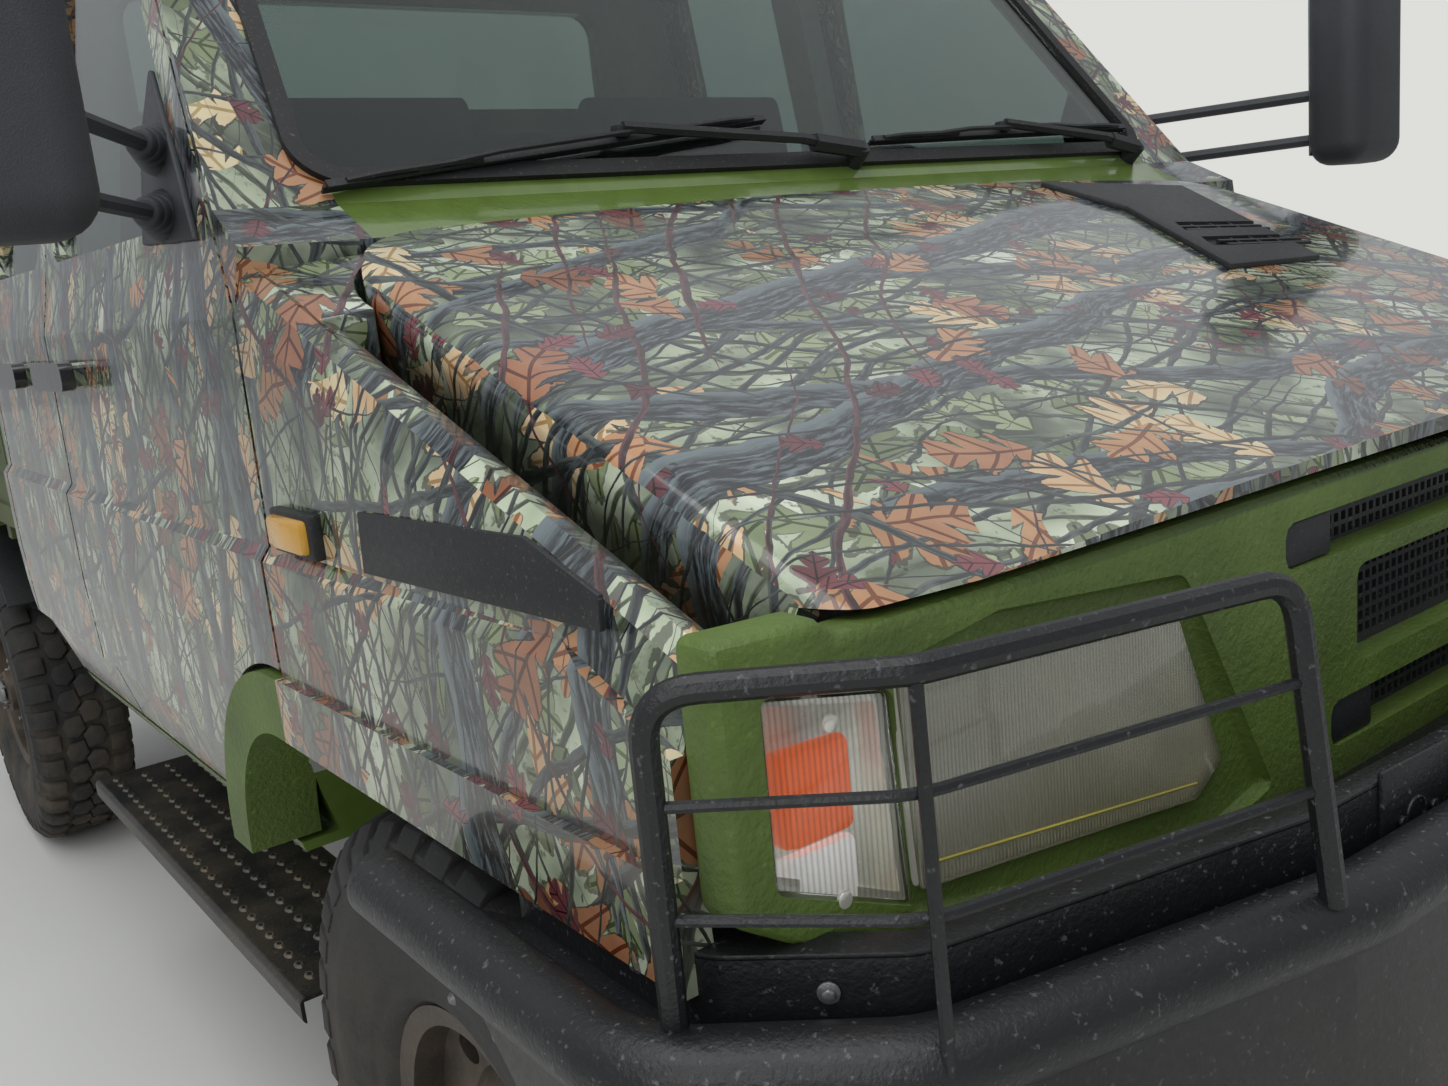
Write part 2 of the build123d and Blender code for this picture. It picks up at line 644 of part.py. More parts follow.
with BuildPart() as cab_shell:
    add(SKIN)
    rounded = [(3, 150), (5, 70), (6, 120), (7, 120)]
    add(side_prism(CAB_PROFILE, -HALF, HALF, corners=rounded), mode=Mode.INTERSECT)
    add(side_prism(CAB_ROOM, -HALF, HALF) & LINING, mode=Mode.SUBTRACT)
    with BuildSketch(across(CAB_REAR)):
        with Locations((0, CAB_BOTTOM)):
            Rectangle(2 * TUNNEL_HALF_WIDTH, 2 * (RAIL_TOP - CAB_BOTTOM))
    extrude(amount=CAB_REAR - CAB_FRONT, mode=Mode.SUBTRACT)
    for side in SIDES.values():
        low, high = sorted((side * TUNNEL_HALF_WIDTH, side * HALF))
        well = arch_prism(CAB_WALL, low, high) & LINING
        slab_top = ARCH_TOP + CAB_WALL
        front_slab = side_prism(
            [(CAB_FRONT, CAB_BOTTOM), (CAB_FRONT, slab_top), (WELL_BACK, slab_top), (WELL_BACK, CAB_BOTTOM)],
            low,
            high,
        )
        add(well & front_slab)
        add(arch_prism(0, low, high), mode=Mode.SUBTRACT)
        low, high = sorted((0, side * HALF))
        doorway = side_prism(front_door_outline(DOOR_GAP), low, high)
        doorway = doorway + side_prism(rear_door_outline(DOOR_GAP), low, high)
        add(doorway - DOOR_POCKET, mode=Mode.SUBTRACT)
        post_front, post_back = B_PILLAR
        post_low, post_high = FLOOR_TOP - 20, DOOR_TOP + 80
        post = side_prism(
            [(post_front, post_low), (post_back, post_low), (post_back, post_high), (post_front, post_high)],
            low,
            high,
        )
        add((post & DOOR_POCKET) - body_prism(CAB_WALL + POCKET_GAP + B_PILLAR_DEPTH))
    for edge in (DOOR_FRONT, DOOR_SPLIT + DOOR_GAP / 2):
        for side in SIDES.values():
            for height in HINGE_HEIGHTS:
                add(hinge(edge, side, height, 0))
    for side in SIDES.values():
        with BuildSketch(along(side * BONNET_HINGE_X - BONNET_HINGE_LENGTH / 2)):
            with Locations((BONNET_AXIS[0], BONNET_AXIS[1])):
                Circle(DOOR_GAP / 2 - SEAT_GAP)
            with Locations(((BONNET_AXIS[0] + CAB_FRONT) / 2, BONNET_AXIS[1])):
                Rectangle(CAB_FRONT - BONNET_AXIS[0], DOOR_GAP / 2)
        extrude(amount=BONNET_HINGE_LENGTH)
    add(extrude(screen_face(0), amount=CAB_WALL * 2, both=True), mode=Mode.SUBTRACT)
    with BuildSketch(across(CAB_REAR + 10)):
        with Locations((0, REAR_WINDOW[2])):
            RectangleRounded(REAR_WINDOW[0], REAR_WINDOW[1], 60)
    extrude(amount=CAB_WALL + 20, mode=Mode.SUBTRACT)
finish(cab_shell, "cab_shell")

# Windscreen seal and the fixed panes
with BuildPart() as windscreen_seal:
    extrude(screen_face(0) - screen_face(SEAL_WIDTH), amount=9)
    extrude(screen_face(0) - screen_face(SEAL_WIDTH), amount=-16)
finish(windscreen_seal, "windscreen_seal")

with BuildPart() as cab_glass:
    extrude(screen_face(SEAL_WIDTH), amount=-GLASS)
    with BuildSketch(across(CAB_REAR - GLASS_INSET)):
        with Locations((0, REAR_WINDOW[2])):
            RectangleRounded(REAR_WINDOW[0], REAR_WINDOW[1], 60)
    extrude(amount=GLASS)
finish(cab_glass, "cab_glass")


# Doors: the same skin and wall as the cab, with the window cut out and its pane set in
def door_parts(outline, window):
    prism = side_prism(outline, 0, HALF)
    pane = side_prism(window, 0, HALF, corners=[(number, 40) for number in range(len(window))])
    leaf = (prism & SKIN) - LINING - pane
    return leaf, (pane & body_prism(GLASS_INSET)) - body_prism(GLASS_INSET + GLASS)


FRONT_WINDOW = [
    (screen_station(WINDOW_SILL) + PILLAR_STRIP + WINDOW_BORDER, WINDOW_SILL),
    (DOOR_SPLIT - WINDOW_BORDER, WINDOW_SILL),
    (rear_edge(WINDOW_TOP, DOOR_SPLIT) - WINDOW_BORDER, WINDOW_TOP),
    (screen_station(WINDOW_TOP) + PILLAR_STRIP + WINDOW_BORDER, WINDOW_TOP),
]
REAR_WINDOW_SIDE = [
    (DOOR_SPLIT + WINDOW_BORDER, WINDOW_SILL),
    (REAR_DOOR_BACK - WINDOW_BORDER, WINDOW_SILL),
    (rear_edge(WINDOW_TOP, REAR_DOOR_BACK) - WINDOW_BORDER, WINDOW_TOP),
    (DOOR_SPLIT + WINDOW_BORDER - DOOR_LEAN, WINDOW_TOP),
]


def handle(station):
    """Door handle: a grip bar on two feet, standing off the skin."""
    with BuildPart() as grip:
        with BuildSketch(along(960)):
            for foot in (-95, 95):
                with Locations((station + foot, HANDLE_Z)):
                    RectangleRounded(44, 40, 12)
        extrude(amount=34)
        with BuildSketch(along(990)):
            with Locations((station, HANDLE_Z)):
                RectangleRounded(236, 44, 16)
        extrude(amount=18)
    return grip.part


leaf, pane = door_parts(front_door_outline(0), FRONT_WINDOW)
with BuildPart() as door_front:
    add(leaf)
    add(arch_prism(LIP_WIDTH + DOOR_GAP, 0, HALF), mode=Mode.SUBTRACT)
    add(handle(DOOR_SPLIT - 150))
    for height in HINGE_HEIGHTS:
        add(hinge(DOOR_FRONT, 1, height, SEAT_GAP), mode=Mode.SUBTRACT)
both_sides(door_front, "door_front")
with BuildPart() as door_glass_front:
    add(pane)
both_sides(door_glass_front, "door_glass_front")

leaf, pane = door_parts(rear_door_outline(0), REAR_WINDOW_SIDE)
with BuildPart() as door_rear:
    add(leaf)
    add(handle(DOOR_SPLIT + 243))
    for height in HINGE_HEIGHTS:
        add(hinge(DOOR_SPLIT + DOOR_GAP / 2, 1, height, SEAT_GAP), mode=Mode.SUBTRACT)
both_sides(door_rear, "door_rear")
with BuildPart() as door_glass_rear:
    add(pane)
both_sides(door_glass_rear, "door_glass_rear")

# Wings: outer skins from the cab to the nose, crowned along the bonnet, with the wheel opening below
FALL = Vector(0, -1, -BONNET_SLOPE)
WING_LENGTH = CAB_FRONT - WING_FRONT


def falling(points, start, length):
    """A section of (x, height) points at a station, carried forward down the bonnet's slope."""
    with BuildPart() as solid:
        with BuildSketch(across(start)):
            with BuildLine():
                Polyline(*points, close=True)
            make_face()
        extrude(amount=length * hypot(1, BONNET_SLOPE), dir=FALL)
    return solid.part


def wing_cap(inset):
    """Section of the wing's top, moved inward by inset, open far below."""
    gutter = RIDGE_Z - GUTTER_DROP - inset
    inner = [(GUTTER_X - 200, -600), (GUTTER_X - 200, gutter)] if inset else [(GUTTER_X, -600)]
    return inner + [
        (GUTTER_X, gutter),
        (RIDGE_X - 18, RIDGE_Z - 8 - inset),
        (RIDGE_X + 4, RIDGE_Z - inset),
        (RIDGE_X + 20, RIDGE_Z - 12 - inset),
        (RIDGE_X + 36, RIDGE_Z - 60 - inset),
        (1100, RIDGE_Z - 60 - inset),
        (1100, -600),
    ]


WING_EDGE = 985
with BuildPart() as wing:
    add(falling(wing_cap(0), CAB_FRONT, WING_LENGTH) & SKIN)
    hollow = falling(wing_cap(WING_WALL), CAB_FRONT + 10, WING_LENGTH + 20) & body_prism(WING_WALL)
    add(hollow, mode=Mode.SUBTRACT)
    add(arch_prism(0, 0, HALF), mode=Mode.SUBTRACT)
    lip = [
        (CAB_FRONT, ARCH_TOP),
        (CAB_FRONT, ARCH_TOP + LIP_WIDTH),
        (WING_FRONT, ARCH_TOP + LIP_WIDTH + 10),
        (WING_FRONT, ARCH_TOP),
    ]
    add(side_prism(lip, WING_EDGE - 12, WING_EDGE + LIP_STAND))
both_sides(wing, "wing")

# Arch lip on the cab's side, below and ahead of the front door
with BuildPart() as arch_lip:
    band = arch_prism(LIP_WIDTH, 900, WING_EDGE + LIP_STAND) - arch_prism(0, 900, WING_EDGE + LIP_STAND)
    lip_room = [(CAB_FRONT, DOOR_BOTTOM), (CAB_FRONT, 1200), (WELL_BACK, 1200), (WELL_BACK, DOOR_BOTTOM)]
    add(band & side_prism(lip_room, 900, HALF))
    add(DOOR_POCKET, mode=Mode.SUBTRACT)
both_sides(arch_lip, "arch_lip")

# Bonnet: a shell with rolled edges, upright sides and rounded corners in plan
BONNET_BACK = CAB_FRONT - DOOR_GAP
BONNET_LENGTH = BONNET_BACK - NOSE_FRONT
BONNET_TOP_BACK = BONNET_Z - 4
BONNET_PLAN_BACK = 130
BONNET_PLAN_FRONT = 90


def bonnet_form(inset):
    """The bonnet's outer form moved inward by inset: crowned section down the slope, rounded in plan."""
    half, top = BONNET_HALF_WIDTH - inset, BONNET_TOP_BACK - inset
    bottom = BONNET_TOP_BACK - BONNET_DEPTH - (40 if inset else 0)
    with BuildPart() as form:
        with BuildSketch(across(BONNET_BACK + 20)) as section:
            with BuildLine():
                Line((-half, bottom), (half, bottom))
                Line((half, bottom), (half, top - BONNET_CROWN))
                ThreePointArc((half, top - BONNET_CROWN), (0, top + 8), (-half, top - BONNET_CROWN))
                Line((-half, top - BONNET_CROWN), (-half, bottom))
            make_face()
            fillet(section.vertices().sort_by(Axis.Y)[-2:], BONNET_EDGE - inset)
        extrude(amount=(BONNET_LENGTH + 40) * hypot(1, BONNET_SLOPE), dir=FALL)
        with BuildSketch(level(800)) as plan:
            with Locations((0, (BONNET_BACK + NOSE_FRONT) / 2)):
                Rectangle(2 * half, BONNET_LENGTH - 2 * inset)
            rear_corners = plan.vertices().sort_by(Axis.Y)[-2:]
            front_corners = plan.vertices().sort_by(Axis.Y)[:2]
            fillet(rear_corners, BONNET_PLAN_BACK - inset)
            fillet(front_corners, BONNET_PLAN_FRONT - inset)
        extrude(amount=900, mode=Mode.INTERSECT)
    return form.part


with BuildPart() as bonnet:
    add(bonnet_form(0))
    add(bonnet_form(BONNET_WALL), mode=Mode.SUBTRACT)
    nose_clear = [
        (NOSE_FRONT - 100, PANEL_TOP - 400),
        (WING_FRONT + DOOR_GAP, PANEL_TOP - 400),
        (WING_FRONT + DOOR_GAP, PANEL_TOP + DOOR_GAP),
        (NOSE_FRONT - 100, PANEL_TOP + DOOR_GAP),
    ]
    add(side_prism(nose_clear, -HALF, HALF), mode=Mode.SUBTRACT)
finish(bonnet, "bonnet")

# Front panel: full width, its lower edge stepped up to the corners, with lamp and grille openings
LAMP_INNER, LAMP_OUTER, LAMP_LOW, LAMP_HIGH = 430, 790, 945, 1100
SIGNAL_OUTER, SIGNAL_LOW, SIGNAL_HIGH = 908, 950, 1125
PANEL_LOWER = ((520, 880), (713, 903), (889, 952), (PANEL_HALF_WIDTH, 984))
GRILLE_SLOTS = ((640, 1105, 1150), (380, 985, 1085), (480, 908, 955))

with BuildPart() as front_panel:
    with BuildSketch(across(WING_FRONT)):
        with BuildLine():
            top = [(PANEL_HALF_WIDTH, PANEL_TOP), (0, PANEL_TOP)]
            Polyline((0, PANEL_LOWER[0][1]), *PANEL_LOWER, *top, close=True)
        make_face()
        mirror(about=Plane.YZ)
        for width, low, high in GRILLE_SLOTS:
            with Locations((0, (low + high) / 2)):
                RectangleRounded(width, high - low, 18, mode=Mode.SUBTRACT)
        for side in SIDES.values():
            with Locations((side * (LAMP_INNER + LAMP_OUTER) / 2, (LAMP_LOW + LAMP_HIGH) / 2)):
                RectangleRounded(LAMP_OUTER - LAMP_INNER, LAMP_HIGH - LAMP_LOW, 14, mode=Mode.SUBTRACT)
    extrude(amount=PANEL_DEPTH)
    corner_edges = front_panel.faces().sort_by(Axis.Y)[0].edges().filter_by(Axis.Z)
    outer_edges = corner_edges.sort_by(Axis.X)[0:1] + corner_edges.sort_by(Axis.X)[-1:]
    fillet(outer_edges, 40)
finish(front_panel, "front_panel")

with BuildPart() as grille:
    for width, low, high in GRILLE_SLOTS:
        with BuildSketch(across(WING_FRONT - 12)):
            with Locations((0, (low + high) / 2)):
                RectangleRounded(width, high - low, 18)
                with GridLocations(14, 14, int(width / 15), max(2, int((high - low) / 15))):
                    Rectangle(9, 9, mode=Mode.SUBTRACT)
        extrude(amount=6)
finish(grille, "grille")

with BuildPart() as headlamps:
    with BuildSketch(across(WING_FRONT)):
        for side in SIDES.values():
            with Locations((side * (LAMP_INNER + LAMP_OUTER) / 2, (LAMP_LOW + LAMP_HIGH) / 2)):
                RectangleRounded(LAMP_OUTER - LAMP_INNER, LAMP_HIGH - LAMP_LOW, 14)
    extrude(amount=PANEL_DEPTH - 6)
finish(headlamps, "headlamps")

with BuildPart() as signal_lamps:
    for side in SIDES.values():
        with BuildSketch(across(WING_FRONT - PANEL_DEPTH)):
            with Locations((side * (LAMP_OUTER + SIGNAL_OUTER) / 2, (SIGNAL_LOW + SIGNAL_HIGH) / 2)):
                RectangleRounded(SIGNAL_OUTER - LAMP_OUTER - 4, SIGNAL_HIGH - SIGNAL_LOW, 14)
        extrude(amount=16)
finish(signal_lamps, "signal_lamps")

# Bumper: a bent top tube on a folded beam, with side plates down past the wheel and a lower centre step
TUBE_PATH = ((1046, -150), (1046, -560), (905, -690), (540, -778), (0, BUMPER_TUBE - FRONT_OVERHANG))
BEAM_BACK = RAIL_FRONT
BEAM_LOW = 600
BEAM_HIGH = BUMPER_Z
STEP_TUBE = 38
STEP_Z = 560
STEP_HALF = 330


def bent_tube(points, z, tube, bend):
    """A round tube along (x, station) points at height z, mirrored over the middle."""
    half = list(points)
    whole = half + [(-x, y) for x, y in reversed(half[:-1])]
    with BuildPart() as solid:
        with BuildLine(level(z)) as route:
            FilletPolyline(*whole, radius=bend)
        wire = route.wire()
        with BuildSketch(Plane(origin=wire @ 0, z_dir=wire % 0)):
            Circle(tube)
        sweep(path=wire)
    return solid.part


BUMPER_PLAN = ((1036, -200), (1036, -560), (900, -690), (540, -775), (0, -797))
BUMPER_PLAN_INNER = ((1020, -200), (1020, -552), (892, -674), (537, -759), (0, -781))
FLANGE_BACK = ((960, -520), (880, -620), (0, -620))
SIDE_PLATE_CUT = (
    (-100, BEAM_HIGH - 8),
    (-240, BEAM_HIGH - 8),
    (-530, BEAM_LOW + 60),
    (-530, BEAM_LOW - 20),
    (-100, BEAM_LOW - 20),
)
STEP_PLATE = (
    (-768, BEAM_LOW + 40),
    (-690, BEAM_LOW + 40),
    (-690, STEP_Z),
    (-740, STEP_Z - 60),
    (-800, STEP_Z - 60),
    (-815, STEP_Z),
)
FLANGE = 14
TUBE_Z = BUMPER_Z + 8
TUBE_BEND = 110
BRACKET_FRONT = -780
with BuildPart() as bumper:
    with BuildSketch(level(BEAM_LOW)):
        with BuildLine():
            Polyline(*BUMPER_PLAN)
            Polyline(*BUMPER_PLAN_INNER)
            Line(BUMPER_PLAN[0], BUMPER_PLAN_INNER[0])
            Line(BUMPER_PLAN[-1], BUMPER_PLAN_INNER[-1])
        make_face()
        mirror(about=Plane.YZ)
    extrude(amount=BEAM_HIGH - BEAM_LOW)
    for side in SIDES.values():
        low, high = sorted((side * 860, side * HALF))
        add(side_prism(SIDE_PLATE_CUT, low, high), mode=Mode.SUBTRACT)
    with BuildSketch(level(BEAM_LOW)):
        with Locations((0, (BEAM_BACK - 760) / 2)):
            Rectangle(2 * 700, 760 + BEAM_BACK)
    extrude(amount=FLANGE)
    with BuildSketch(level(BUMPER_Z - 20)):
        with BuildLine():
            Polyline(*BUMPER_PLAN_INNER[1:])
            Line(BUMPER_PLAN_INNER[1], FLANGE_BACK[0])
            Polyline(*FLANGE_BACK)
            Line(BUMPER_PLAN_INNER[-1], FLANGE_BACK[-1])
        make_face()
        mirror(about=Plane.YZ)
    extrude(amount=10)
    for side in SIDES.values():
        with BuildSketch(along(side * SPRING_X - (RAIL_OUTER - SPRING_X))):
            with Locations(((RAIL_FRONT + BRACKET_FRONT) / 2, (RAIL_BOTTOM + RAIL_TOP) / 2)):
                Rectangle(RAIL_FRONT - BRACKET_FRONT, RAIL_TOP - RAIL_BOTTOM - 40)
        extrude(amount=2 * (RAIL_OUTER - SPRING_X))
    add(bent_tube(TUBE_PATH, TUBE_Z, BUMPER_TUBE, TUBE_BEND))
    for side in SIDES.values():
        with BuildSketch(along(side * STEP_HALF - FLANGE / 2)):
            with BuildLine():
                Polyline(*STEP_PLATE, close=True)
            make_face()
        extrude(amount=FLANGE)
    with BuildSketch(along(-STEP_HALF)):
        with Locations((-775, STEP_Z - 10)):
            Circle(STEP_TUBE)
    extrude(amount=2 * STEP_HALF)
finish(bumper, "bumper")

# Lamp guards on the bumper: a bent top tube on two uprights, with a middle rod and two cross rods
GUARD_TOP = 1190
GUARD_TUBE = 16
GUARD_ROD = 7
GUARD_FOOT = TUBE_Z + BUMPER_TUBE + SEAT_GAP
GUARD_PLAN = ((1016, -600), (892, -706), (540, -778))
points = [(-x, y) for x, y in GUARD_PLAN]
corners = [
    (points[0][0], points[0][1], GUARD_FOOT),
    (points[0][0], points[0][1], GUARD_TOP),
    (points[1][0], points[1][1], GUARD_TOP),
    (points[2][0], points[2][1], GUARD_TOP - 10),
    (points[2][0], points[2][1], GUARD_FOOT),
]
with BuildPart() as lamp_guards:
    with BuildLine(level(0)) as route:
        FilletPolyline(*corners, radius=(40, 120, 40))
    wire = route.wire()
    with BuildSketch(Plane(origin=wire @ 0, z_dir=wire % 0)):
        Circle(GUARD_TUBE)
    sweep(path=wire)
    with BuildSketch(level(GUARD_FOOT)):
        with Locations(points[1]):
            Circle(GUARD_ROD)
    extrude(amount=GUARD_TOP - GUARD_FOOT)
    for height in (GUARD_FOOT + 72, GUARD_FOOT + 152):
        for start, end in ((points[0], points[1]), (points[1], points[2])):
            run = Vector(end[0] - start[0], end[1] - start[1])
            with BuildSketch(Plane(origin=(start[0], at(start[1]), height), z_dir=run)):
                Circle(GUARD_ROD)
            extrude(amount=run.length)
    mirror(about=Plane.YZ)
finish(lamp_guards, "lamp_guards")

# Steps below the doors, hung from the rails on brackets
STEP_INNER, STEP_OUTER, STEP_TOP = 722, 950, 480
STEP_FRONT, STEP_BACK = 525, 1780
with BuildPart() as step:
    with BuildSketch(across(STEP_BACK)):
        with Locations(((STEP_INNER + STEP_OUTER) / 2, STEP_TOP - 20)):
            RectangleRounded(STEP_OUTER - STEP_INNER, 40, 10)
        with Locations(((STEP_INNER + STEP_OUTER) / 2, STEP_TOP - 30)):
            Rectangle(STEP_OUTER - STEP_INNER - 12, 48, mode=Mode.SUBTRACT)
    extrude(amount=STEP_BACK - STEP_FRONT)
    for bracket in (700, 1215):
        with BuildSketch(across(bracket + 25)):
            with BuildLine():
                Polyline(
                    (RAIL_OUTER, CAB_BOTTOM - 6),
                    (RAIL_OUTER, RAIL_BOTTOM + 12),
                    (STEP_INNER - 40, STEP_TOP - 38),
                    (STEP_OUTER - 20, STEP_TOP - 38),
                    (STEP_OUTER - 20, STEP_TOP - 10),
                    (STEP_INNER - 20, STEP_TOP - 10),
                    close=True,
                )
            make_face()
        extrude(amount=50)
both_sides(step, "step")

# Mirrors: a plate in the front corner of the door's window, two arms with bellows and the head
MIRROR_FROM, MIRROR_TO = 1110, 1300
MIRROR_FRONT, MIRROR_BACK = 60, 180
MIRROR_LOW, MIRROR_HIGH = 1510, 1900
MIRROR_PLATE = [
    (screen_station(WINDOW_SILL) + PILLAR_STRIP + 14, WINDOW_SILL - 14),
    (screen_station(WINDOW_SILL) + 260, WINDOW_SILL - 14),
    (screen_station(WINDOW_SILL + 330) + PILLAR_STRIP + 80, WINDOW_SILL + 330),
    (screen_station(WINDOW_SILL + 330) + PILLAR_STRIP + 14, WINDOW_SILL + 330),
]
ARM_ROOTS = ((455, 1592), (560, 1735))
with BuildPart() as mirror_head:
    with BuildSketch(level(MIRROR_LOW)):
        with Locations(((MIRROR_FROM + MIRROR_TO) / 2, (MIRROR_FRONT + MIRROR_BACK) / 2)):
            RectangleRounded(MIRROR_TO - MIRROR_FROM, MIRROR_BACK - MIRROR_FRONT, 45)
    extrude(amount=MIRROR_HIGH - MIRROR_LOW)
    fillet(mirror_head.faces().sort_by(Axis.Z)[-1].edges(), 25)
    fillet(mirror_head.faces().sort_by(Axis.Z)[0].edges(), 25)
    for root_station, height in ARM_ROOTS:
        root = Vector(915, at(root_station), height)
        tip = Vector(MIRROR_FROM + 40, at(MIRROR_BACK - 50), height + 8)
        with BuildSketch(Plane(origin=root, z_dir=tip - root)):
            Circle(11)
        extrude(amount=(tip - root).length)
        with BuildSketch(Plane(origin=root, z_dir=Vector(1, -0.25, 0))):
            Circle(46)
        extrude(amount=95, taper=14)
    add(side_prism(MIRROR_PLATE, 0, HALF, corners=[(1, 20)]) & body_prism(-7))
    add(body_prism(GLASS_INSET), mode=Mode.SUBTRACT)
    add(door_front.part, mode=Mode.SUBTRACT)
both_sides(mirror_head, "mirror")

# Dashboard and steering wheel
WHEEL_TILT = 32
DASH_HALF = 884
STEERING = (400, 700, 1440)
DASH_PROFILE = (
    (CAB_FRONT + CAB_WALL, 1150),
    (CAB_FRONT + CAB_WALL, SCUTTLE_Z - CAB_WALL - 15),
    (400, 1500),
    (560, 1470),
    (590, 1380),
    (560, 1180),
    (420, 1150),
)
with BuildPart() as dashboard:
    with BuildSketch(along(-DASH_HALF)):
        with BuildLine():
            Polyline(*DASH_PROFILE, close=True)
        make_face()
    extrude(amount=2 * DASH_HALF)
    column = Vector(0, -cos(radians(WHEEL_TILT)), -sin(radians(WHEEL_TILT)))
    hub = Vector(STEERING[0], at(STEERING[1]), STEERING[2])
    with BuildSketch(Plane(origin=hub + column * (28 + SEAT_GAP), z_dir=column)):
        Circle(28)
    extrude(amount=180)
finish(dashboard, "dashboard")

with BuildPart() as steering_wheel:
    spin_plane = Plane(origin=hub, x_dir=(1, 0, 0), z_dir=column * -1)
    with BuildSketch(Plane(origin=hub, x_dir=(1, 0, 0), z_dir=spin_plane.y_dir)):
        with Locations((205, 0)):
            Circle(15)
    revolve(axis=Axis(hub, column))
    with BuildSketch(spin_plane.offset(-28)):
        Circle(58)
    extrude(amount=50)
    for angle in (180, 330, 210):
        with BuildSketch(spin_plane.offset(-7)):
            with Locations(Location((0, 0), angle) * Location((125, 0))):
                Rectangle(155, 30)
        extrude(amount=14)
finish(steering_wheel, "steering_wheel")


def seat(x, station_front, width):
    """Seat: a box base, a cushion and a leaning back."""
    profile = [
        (station_front, FLOOR_TOP),
        (station_front, FLOOR_TOP + 330),
        (station_front + 20, FLOOR_TOP + 370),
        (station_front + 400, FLOOR_TOP + 350),
        (station_front + 520, FLOOR_TOP + 980),
        (station_front + 600, FLOOR_TOP + 980),
        (station_front + 500, FLOOR_TOP + 300),
        (station_front + 470, FLOOR_TOP),
    ]
    return side_prism(profile, x - width / 2, x + width / 2, corners=[(4, 35), (5, 35), (2, 20)])


with BuildPart() as front_seats:
    for side in SIDES.values():
        add(seat(side * 400, 680, 500))
finish(front_seats, "front_seats")
with BuildPart() as rear_seat:
    seat_front = B_PILLAR[1] + 12
    ahead = [(1000, CAB_BOTTOM), (1000, ROOF_TOP), (seat_front, ROOF_TOP), (seat_front, CAB_BOTTOM)]
    add(seat(0, 1215, 1480) - side_prism(ahead, -HALF, HALF))
finish(rear_seat, "rear_seat")

# Cargo bed: bearers on the rails, cross bearers, deck, headboard and rear mudguards
with BuildPart() as bed_deck:
    for side in SIDES.values():
        with BuildSketch(across(BED_REAR - 10)):
            with Locations((side * SPRING_X, (RAIL_TOP + BEARER_TOP) / 2)):
                Rectangle(2 * BEARER_HALF_WIDTH, BEARER_TOP - RAIL_TOP)
        extrude(amount=BED_REAR - 10 - BED_FRONT)
    bearers = [WHEELBASE + step_number * BEARER_PITCH for step_number in range(-3, 4)]
    for bearer_station in bearers + [BED_REAR - 35]:
        with BuildSketch(across(bearer_station + 25)):
            with Locations((0, (BEARER_TOP + CROSS_BEARER_TOP) / 2)):
                Rectangle(2 * BED_HALF_WIDTH - 40, CROSS_BEARER_TOP - BEARER_TOP)
        extrude(amount=50)
    with BuildSketch(level(CROSS_BEARER_TOP)):
        with Locations((0, (BED_FRONT + BED_REAR) / 2)):
            Rectangle(2 * (BED_HALF_WIDTH - BOARD_THICK - 6), BED_REAR - BED_FRONT - 2 * BOARD_THICK - 12)
    extrude(amount=DECK_TOP - CROSS_BEARER_TOP)
finish(bed_deck, "bed_deck")

POST = 60
with BuildPart() as headboard:
    with BuildSketch(across(BED_FRONT + BOARD_THICK)):
        with Locations((0, (CROSS_BEARER_TOP + BOARD_TOP + 60) / 2)):
            Rectangle(2 * BED_HALF_WIDTH - 2, BOARD_TOP + 60 - CROSS_BEARER_TOP)
        with Locations((0, (BOARD_TOP + HEADBOARD_TOP) / 2)):
            Rectangle(2 * BED_HALF_WIDTH - 2, HEADBOARD_TOP - BOARD_TOP)
        for number in range(3):
            opening = ((number - 1) * (2 * BED_HALF_WIDTH - POST) / 3, (BOARD_TOP + HEADBOARD_TOP) / 2)
            opening_size = ((2 * BED_HALF_WIDTH - 4 * POST) / 3, HEADBOARD_TOP - BOARD_TOP - 2 * POST)
            with Locations(opening):
                Rectangle(*opening_size, mode=Mode.SUBTRACT)
    extrude(amount=BOARD_THICK)
finish(headboard, "headboard")


with BuildPart() as side_board:
    board_plane = along(BED_HALF_WIDTH - BOARD_THICK)
    length = BED_REAR - BED_FRONT - 2 * BOARD_THICK - 16
    with BuildSketch(board_plane):
        with Locations(((BED_FRONT + BED_REAR) / 2, (CROSS_BEARER_TOP + BOARD_TOP + SEAT_GAP) / 2)):
            Rectangle(length, BOARD_TOP - CROSS_BEARER_TOP - SEAT_GAP)
    extrude(amount=BOARD_THICK)
    with BuildSketch(board_plane.offset(BOARD_THICK)):
        for row in range(3):
            for column_number in range(2):
                with Locations(
                    (
                        (BED_FRONT + BED_REAR) / 2 + (column_number - 0.5) * length / 2,
                        CROSS_BEARER_TOP + 90 + row * 125,
                    )
                ):
                    Rectangle(length / 2 - 90, 80)
    extrude(amount=-8, mode=Mode.SUBTRACT)
both_sides(side_board, "side_board")

with BuildPart() as tailgate:
    with BuildSketch(across(BED_REAR)):
        with Locations((0, (CROSS_BEARER_TOP + BOARD_TOP + SEAT_GAP) / 2)):
            Rectangle(2 * BED_HALF_WIDTH - 2, BOARD_TOP - CROSS_BEARER_TOP - SEAT_GAP)
    extrude(amount=BOARD_THICK)
    with BuildSketch(across(BED_REAR)):
        for row in range(3):
            for column_number in range(2):
                with Locations(((column_number - 0.5) * BED_HALF_WIDTH, CROSS_BEARER_TOP + 90 + row * 125)):
                    Rectangle(BED_HALF_WIDTH - 90, 80)
    extrude(amount=8, mode=Mode.SUBTRACT)
finish(tailgate, "tailgate")

